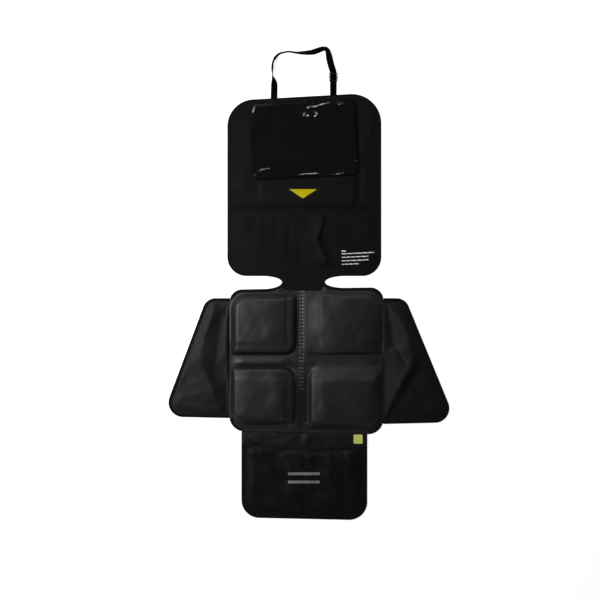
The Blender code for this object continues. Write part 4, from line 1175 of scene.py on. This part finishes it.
def make_front():
    """Front flap, its pocket and the band over the pocket's mouth."""
    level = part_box("front_flap")[0].z + CLOTH

    def flat(x, y):
        return np.full(x.shape, level)

    make_sheet("front_flap", 0.006, flat, "fabric")
    base = top_field("front_pocket", soften=0.006)
    border = outline_of("front_pocket")
    band_border = outline_of("front_band")

    def pocket_top(x, y):
        free = ease(distance(border, x, y), 0.004, 0.030)
        free = free * ease(-depth_in(band_border, x, y), 0.004, 0.020)
        soft = 0.00026 + soft_waves(x, y, 71, (0.0026, 0.085), (0.0008, 0.035))
        dents = sum(
            ridge(x, y, [(px, py, 1.0), (px + 0.012, py - 0.010, 0.5)], 0.009)
            for px, py in ((-0.150, -0.266), (-0.122, -0.262), (-0.058, -0.276), (0.020, -0.275),
                           (0.128, -0.268))
        )
        return base(x, y) + free * (soft + 0.0024 * dents)

    make_sheet("front_pocket", 0.0036, pocket_top, "flap")
    band_base = top_field("front_band", cell=0.0012, soften=0.0022)
    tag_low, tag_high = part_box("side_tag")
    tag_middle = (tag_low + tag_high) / 2
    tag_half = (tag_high.x - tag_low.x) / 2

    def band_top(x, y):
        free = ease(distance(band_border, x, y), 0.001, 0.008)
        tag = np.maximum(np.abs(x - tag_middle.x), np.abs(y - tag_middle.y)) - tag_half
        free = free * ease(tag, 0.001, 0.010)
        soft = soft_waves(x, y, 81, (0.0005, 0.06), (0.0002, 0.02))
        fold = ridge(x, y, [(-0.174, -0.2095, 0.5), (-0.150, -0.2250, 1.0), (-0.126, -0.2420, 0.8)],
                     0.0034)
        pleat = fall(x, y, [(0.011, -0.2370, 0.5), (0.009, -0.2220, 1.0), (0.007, -0.2100, 0.3)],
                     0.012, 0.0025)
        return band_base(x, y) + free * (soft + 0.0026 * fold + 0.0016 * pleat)

    make_sheet("front_band", 0.0026, band_top, "wing")
    return pocket_top


# Folded tapes


def tape_path(node):
    """The outer line of a tape: its bottom corners under the tall outer wall."""
    low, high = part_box(node)
    tall = (high.z - low.z) * 0.75
    bm = welded(node)
    outer = set()
    for edge in bm.edges:
        start, end = (vertex.co for vertex in edge.verts)
        if (start - end).xy.length < 1e-6 and abs(start.z - end.z) > tall:
            outer.add(min(edge.verts, key=lambda vertex: vertex.co.z).index)
    pairs = [
        tuple(vertex.index for vertex in edge.verts) for edge in bm.edges
        if all(vertex.index in outer for vertex in edge.verts)
    ]
    run, _ = chained(pairs)
    bm.verts.ensure_lookup_table()
    path = [Vector(bm.verts[i].co[:2]) for i in run]
    inner = [vertex.co for vertex in bm.verts if vertex.index not in outer]
    middle = path[len(path) // 2]
    side = path[len(path) // 2 + 1] - middle
    nearest = min(inner, key=lambda spot: abs((spot.xy - middle).length - TAPE_WIDTH))
    bm.free()
    if side.cross(nearest.xy - middle) < 0:
        path.reverse()
    return path, low.z, high.z


def tape_section(height):
    """Pairs of outer and inner (inward, up) points of the folded tape, from low leg to high leg."""
    nose = min(0.0014, height * 0.4)
    bend = nose - TAPE_WALL
    pairs = [((inward, 0.0), (inward, TAPE_WALL)) for inward in (TAPE_WIDTH, 0.0065, 0.0040, 0.0024)]
    turn = []
    for step in range(5):
        angle = math.pi / 2 * step / 4
        inward = 1 - math.sin(angle)
        up = 1 - math.cos(angle)
        turn.append(((nose * inward, nose * up), (TAPE_WALL + bend * inward, TAPE_WALL + bend * up)))
    pairs += turn
    pairs += [((a, height - b), (c, height - d)) for (a, b), (c, d) in reversed(turn)]
    for inward in (0.0024, 0.0040, 0.0060, 0.0068, 0.0076, 0.0084, TAPE_WIDTH):
        pairs.append(((inward, height), (inward, height - TAPE_WALL)))
    return pairs


def make_tape(node):
    """A folded tape with its thread pressed in, and the stitches along it."""
    corners, low, high = tape_path(node)
    path = smooth_line(corners, 0.0025, closed=False)
    pairs = tape_section(high - low)
    ring = [pair[0] for pair in pairs] + [pair[1] for pair in pairs[::-1]]
    count = len(ring)
    half = len(pairs)
    points = []
    travelled = 0.0
    for i, point in enumerate(path):
        before = path[max(0, i - 1)]
        after = path[min(len(path) - 1, i + 1)]
        along = (after - before).normalized()
        inward = Vector((-along.y, along.x))
        travelled += (point - before).length
        pull = THREAD_PULL * math.sin(travelled * math.tau / STITCH_PITCH)
        wobble = 0.00012 * math.sin(travelled * 210) + 0.00008 * math.sin(travelled * 97 + 1)
        for depth, up in ring:
            level = low + up
            if up > TAPE_WALL * 1.5:
                dip = math.exp(-((depth - STITCH_INSET) / THREAD_GROOVE) ** 2)
                level -= (THREAD_PRESS + pull) * dip
            spread = wobble if depth > LOOSE_EDGE else 0.0
            spot = point + inward * (depth + spread)
            points.append((spot.x, spot.y, level))
    faces = []
    for i in range(len(path) - 1):
        for k in range(count):
            a = i * count + k
            b = i * count + (k + 1) % count
            faces.append((a, b, b + count, a + count))
    last = (len(path) - 1) * count
    for k in range(half - 1):
        a, b, c, d = k, k + 1, count - 2 - k, count - 1 - k
        faces.append((d, c, b, a))
        faces.append((last + a, last + b, last + c, last + d))
    tape = built(f"{node}_folded", points, faces, "tape")
    turn_out(tape)
    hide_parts(node)
    stitches(f"{node}_stitches", path, STITCH_INSET, high - 0.0001, "thread")


def turn_out(obj):
    """Makes a closed piece's faces point outward."""
    bm = bmesh.new()
    bm.from_mesh(obj.data)
    bmesh.ops.recalc_face_normals(bm, faces=bm.faces[:])
    bm.to_mesh(obj.data)
    bm.free()


def stitches(name, path, inset, level, look, pitch=STITCH_PITCH, size=THREAD):
    """A row of thread stitches at the given level beside a path, half sunk in the cloth."""
    points = []
    faces = []
    spots = []
    for start, end in zip(path, path[1:]):
        along = (end - start).normalized()
        spots.append((start + Vector((-along.y, along.x)) * inset, along))
    length = STITCH_LENGTH * pitch / STITCH_PITCH
    travelled = 0.0
    due = pitch / 2
    for (start, along), (end, _) in zip(spots, spots[1:]):
        stride = (end - start).length
        while due <= travelled + stride:
            middle = start + (end - start) * ((due - travelled) / max(stride, 1e-9))
            add_stitch(points, faces, (*middle, level), along, length, size)
            due += pitch
        travelled += stride
    made = built(name, points, faces, look, smooth_angle=80.0)
    turn_out(made)


def add_stitch(points, faces, middle, along, length, size):
    """One stitch: a spindle of four sides."""
    first = len(points)
    middle = Vector(middle)
    along = along.to_3d()
    across = Vector((-along.y, along.x, 0))
    rise = Vector((0, 0, 0.8))
    points.extend(tuple(middle + along * share * length) for share in (-0.5, 0.5))
    for share in (-0.28, 0.28):
        spot = middle + along * share * length
        points.extend(tuple(spot + way * size) for way in (-across, rise, across, -rise))
    for k in range(4):
        a = first + 2 + k
        b = first + 2 + (k + 1) % 4
        faces.extend(((first, a, b), (a, a + 4, b + 4, b), (first + 1, b + 4, a + 4)))


# Trim and prints


def softened(node, look, width, segments=2):
    """A CAD piece with its edges rounded."""
    bm = welded(node)
    bmesh.ops.dissolve_limit(bm, angle_limit=math.radians(1), verts=bm.verts[:], edges=bm.edges[:])
    edges = [edge for edge in bm.edges if edge.calc_face_angle(0) > math.radians(40)]
    bmesh.ops.bevel(bm, geom=edges, offset=width, segments=segments, affect="EDGES", profile=0.6)
    bmesh.ops.triangulate(bm, faces=bm.faces[:])
    mesh = bpy.data.meshes.new(f"{node}_rounded")
    bm.to_mesh(mesh)
    bm.free()
    made = finished(f"{node}_rounded", mesh, LOOKS[look])
    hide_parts(node)


def make_badge():
    """Moulded badge with a raised rim."""
    low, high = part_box("badge")
    loop = smooth_line(outline_of("badge"), 0.0009)

    def top(x, y):
        depth = distance(loop, x, y)
        edge = 1 - np.clip(1 - depth / 0.0007, 0, 1) ** 2
        rim = ease(depth, 0.0, 0.0006) * (1 - ease(depth, 0.0020, 0.0027))
        return high.z - 0.0005 + 0.0004 * edge * 0.5 + 0.0003 * rim

    badge = fine_sheet("badge_moulded", loop, 0.0009, top, 0.0, LOOKS["yellow"],
                       underside=lambda x, y: np.full(x.shape, low.z))
    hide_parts("badge")


def make_tag():
    """Woven tag with a stitched border."""
    low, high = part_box("side_tag")
    loop = smooth_line(outline_of("side_tag"), 0.0009)

    def top(x, y):
        depth = distance(loop, x, y)
        dip = np.exp(-((depth - TAG_INSET) / 0.0006) ** 2)
        return high.z + 0.0001 * waves(x, y, 91, 0.012) - 0.00022 * dip

    tag = fine_sheet("side_tag_woven", loop, 0.0009, top, high.z - low.z, LOOKS["lime"])
    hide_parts("side_tag")
    corners = [Vector(corner) for corner in ((low.x, low.y), (high.x, low.y), (high.x, high.y),
                                             (low.x, high.y), (low.x, low.y))]
    for i, (start, end) in enumerate(zip(corners, corners[1:])):
        side = [start + (end - start) * (0.10 + 0.80 * step / 12) for step in range(13)]
        stitches(f"side_tag_stitches_{i + 1}", side, TAG_INSET, high.z - 0.0001, "lime_thread",
                 pitch=0.0024, size=0.0003)


def draped_print(name, shapes, level, look, thickness=0.00012, spacing=0.0015):
    """Thin printed areas that lie on a surface: rectangles given as (x, y, width, height)."""
    points = []
    faces = []
    for left, low, width, height in shapes:
        columns = max(1, round(width / spacing))
        rows = max(1, round(height / spacing))
        x, y = np.meshgrid(left + width * np.arange(columns + 1) / columns,
                           low + height * np.arange(rows + 1) / rows)
        z = level(x.ravel(), y.ravel())
        count = x.size
        under = len(points) + np.arange(count).reshape(x.shape)
        upper = under + count
        for lift in (0.00004, thickness):
            points.extend(zip(x.ravel().tolist(), y.ravel().tolist(), (z + lift).tolist()))
        for grid, turn in ((upper, 1), (under, -1)):
            corners = (grid[:-1, :-1], grid[:-1, 1:], grid[1:, 1:], grid[1:, :-1])[::turn]
            faces.extend(zip(*(corner.ravel().tolist() for corner in corners)))
        ring = [*upper[0, :-1], *upper[:-1, -1], *upper[-1, :0:-1], *upper[:0:-1, 0]]
        ring = [int(corner) for corner in ring]
        for a, b in zip(ring, ring[1:] + ring[:1]):
            faces.append((a - count, b - count, b, a))
    made = built(name, points, faces, look)


# Strokes of the plain digits, numbered from the top: top, upper left, upper right, middle,
# lower left, lower right, bottom
DIGITS = ("012456", "25", "02346", "02356", "1235", "01356", "013456", "025", "0123456", "012356")


def digit_shapes(number, left, low, height):
    """A number drawn with plain strokes, as rectangles that don't overlap."""
    width = height * DIGIT_WIDTH
    stroke = height * DIGIT_STROKE
    bar = width - 2 * stroke
    right = width - stroke
    middle = (height - stroke) / 2
    upper = (height + stroke) / 2
    strokes = (
        (stroke, height - stroke, bar, stroke),
        (0, upper, stroke, middle),
        (right, upper, stroke, middle),
        (stroke, middle, bar, stroke),
        (0, 0, stroke, middle),
        (right, 0, stroke, middle),
        (stroke, 0, bar, stroke),
    )
    shapes = []
    for i, digit in enumerate(str(number)):
        shift = left + i * (width + stroke * 1.2)
        for key in DIGITS[int(digit)]:
            x, y, wide, tall = strokes[int(key)]
            shapes.append((shift + x, low + y, wide, tall))
    return shapes


def make_scale(height):
    """Printed centimetre scale down the middle channel."""
    shapes = []
    for mark in range(SCALE_MARKS):
        y = SCALE_TOP - mark * SCALE_PITCH
        width = 0.0044 if mark % 5 == 0 else 0.0032
        shapes.append((TICKS_LEFT, y - TICK_HEIGHT / 2, width, TICK_HEIGHT))
        number = SCALE_MARKS - 1 - mark
        shapes.extend(digit_shapes(number, NUMBERS_LEFT, y - DIGIT_HEIGHT / 2, DIGIT_HEIGHT))
    draped_print("centimetre_scale", shapes, height, "scale_print")


def make_bars(level):
    """Four plain broken bars on the storage pocket's lower right corner."""
    dice = np.random.default_rng(SEED)
    shapes = [(0.1080, 0.3145, 0.012, 0.0034)]
    for line, right in enumerate((0.2010, 0.1850, 0.1850, 0.1620)):
        y = BARS_TOP - line * BARS_PITCH - BAR_HEIGHT / 2
        x = BARS_LEFT
        while x < right:
            width = min(dice.uniform(0.006, 0.016), right - x)
            if width > 0.003:
                shapes.append((x, y + BARS_SLANT * (x - BARS_LEFT), width, BAR_HEIGHT))
            x += width + WORD_GAP
    draped_print("info_bars", shapes, level, "print")


def make_reflective(level):
    """Two plain reflective bars on the front pocket."""
    shapes = [(-0.0460, y, 0.0910, 0.0082) for y in (-0.3275, -0.3515)]
    draped_print("reflective_bars", shapes, level, "reflective",
                 thickness=0.00018, spacing=0.003)


def use_look(node, look):
    """A CAD piece keeps its shape and takes a detailed material."""
    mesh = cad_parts[node].data
    mesh.materials.clear()
    mesh.materials.append(LOOKS[look])


# Studio


def make_floor():
    """A pale floor that looks white to the camera and in reflections, and keeps the shadow."""
    bpy.ops.mesh.primitive_plane_add(size=FLOOR_SIZE, location=(0, 0, FLOOR_LEVEL))
    floor = bpy.context.object
    floor.name = "floor"
    made, tree, shader, _ = new_material("pale_floor")
    shader.inputs["Base Color"].default_value = (*FLOOR_GREY, 1.0)
    shader.inputs["Roughness"].default_value = 0.9
    shader.inputs["Specular IOR Level"].default_value = 0.1
    rays = tree.nodes.new("ShaderNodeLightPath")
    seen = maths(tree, "MAXIMUM", rays.outputs["Is Camera Ray"], rays.outputs["Is Glossy Ray"])
    seen = maths(tree, "MAXIMUM", seen, rays.outputs["Is Transmission Ray"])
    glow = tree.nodes.new("ShaderNodeEmission")
    tree.links.new(maths(tree, "MULTIPLY", seen, FLOOR_GLOW), glow.inputs["Strength"])
    total = tree.nodes.new("ShaderNodeAddShader")
    tree.links.new(shader.outputs[0], total.inputs[0])
    tree.links.new(glow.outputs[0], total.inputs[1])
    tree.links.new(total.outputs[0], tree.nodes["Material Output"].inputs["Surface"])
    floor.data.materials.append(made)


def make_world():
    """Pale walls that darken towards the ceiling."""
    world = bpy.data.worlds.new("studio")
    bpy.context.scene.world = world
    world.use_nodes = True
    tree = world.node_tree
    sky = tree.nodes["Background"]
    sky.inputs["Color"].default_value = (1.0, 1.0, 1.0, 1.0)
    split = tree.nodes.new("ShaderNodeSeparateXYZ")
    tree.links.new(tree.nodes.new("ShaderNodeTexCoord").outputs["Generated"], split.inputs[0])
    shade = tree.nodes.new("ShaderNodeMapRange")
    shade.interpolation_type = "SMOOTHSTEP"
    for key, value in WALLS.items():
        shade.inputs[key].default_value = value
    tree.links.new(split.outputs[2], shade.inputs["Value"])
    tree.links.new(shade.outputs["Result"], sky.inputs["Strength"])


def make_lamp(name, place, target, size, level):
    """A softbox that lights a level surface at its target to the given share of white."""
    data = bpy.data.lights.new(name, "AREA")
    data.shape = "RECTANGLE"
    data.size, data.size_y = size
    lamp = bpy.data.objects.new(name, data)
    bpy.context.scene.collection.objects.link(lamp)
    lamp.location = place
    aim = Vector(target) - Vector(place)
    lamp.rotation_euler = aim.to_track_quat("-Z", "Y").to_euler()
    slope = -aim.normalized().z
    data.energy = level * math.pi**2 * aim.length_squared / slope


def make_camera():
    data = bpy.data.cameras.new("camera")
    data.sensor_width = SENSOR
    data.lens = SENSOR * CAMERA_HEIGHT / VIEW_WIDTH
    data.clip_end = 100.0
    camera = bpy.data.objects.new("camera", data)
    bpy.context.scene.collection.objects.link(camera)
    camera.location = (CAMERA_X, CAMERA_Y, CAMERA_HEIGHT)
    bpy.context.scene.camera = camera


def make_studio():
    make_floor()
    make_world()
    make_camera()
    for lamp in LAMPS:
        make_lamp(*lamp)
    bpy.context.scene.view_settings.view_transform = "Standard"


def main():
    make_studio()
    seat_top = make_seat()
    make_back()
    pocket_top = make_storage_pocket()
    make_band()
    make_window()
    make_left_wing()
    make_right_wing()
    front_top = make_front()
    for node in TAPES:
        make_tape(node)
    softened("strap_slider", "plastic", 0.0004)
    make_badge()
    make_tag()
    make_scale(seat_top)
    make_bars(pocket_top)
    make_reflective(front_top)
    for node, look in PLAIN_LOOKS.items():
        use_look(node, look)


main()
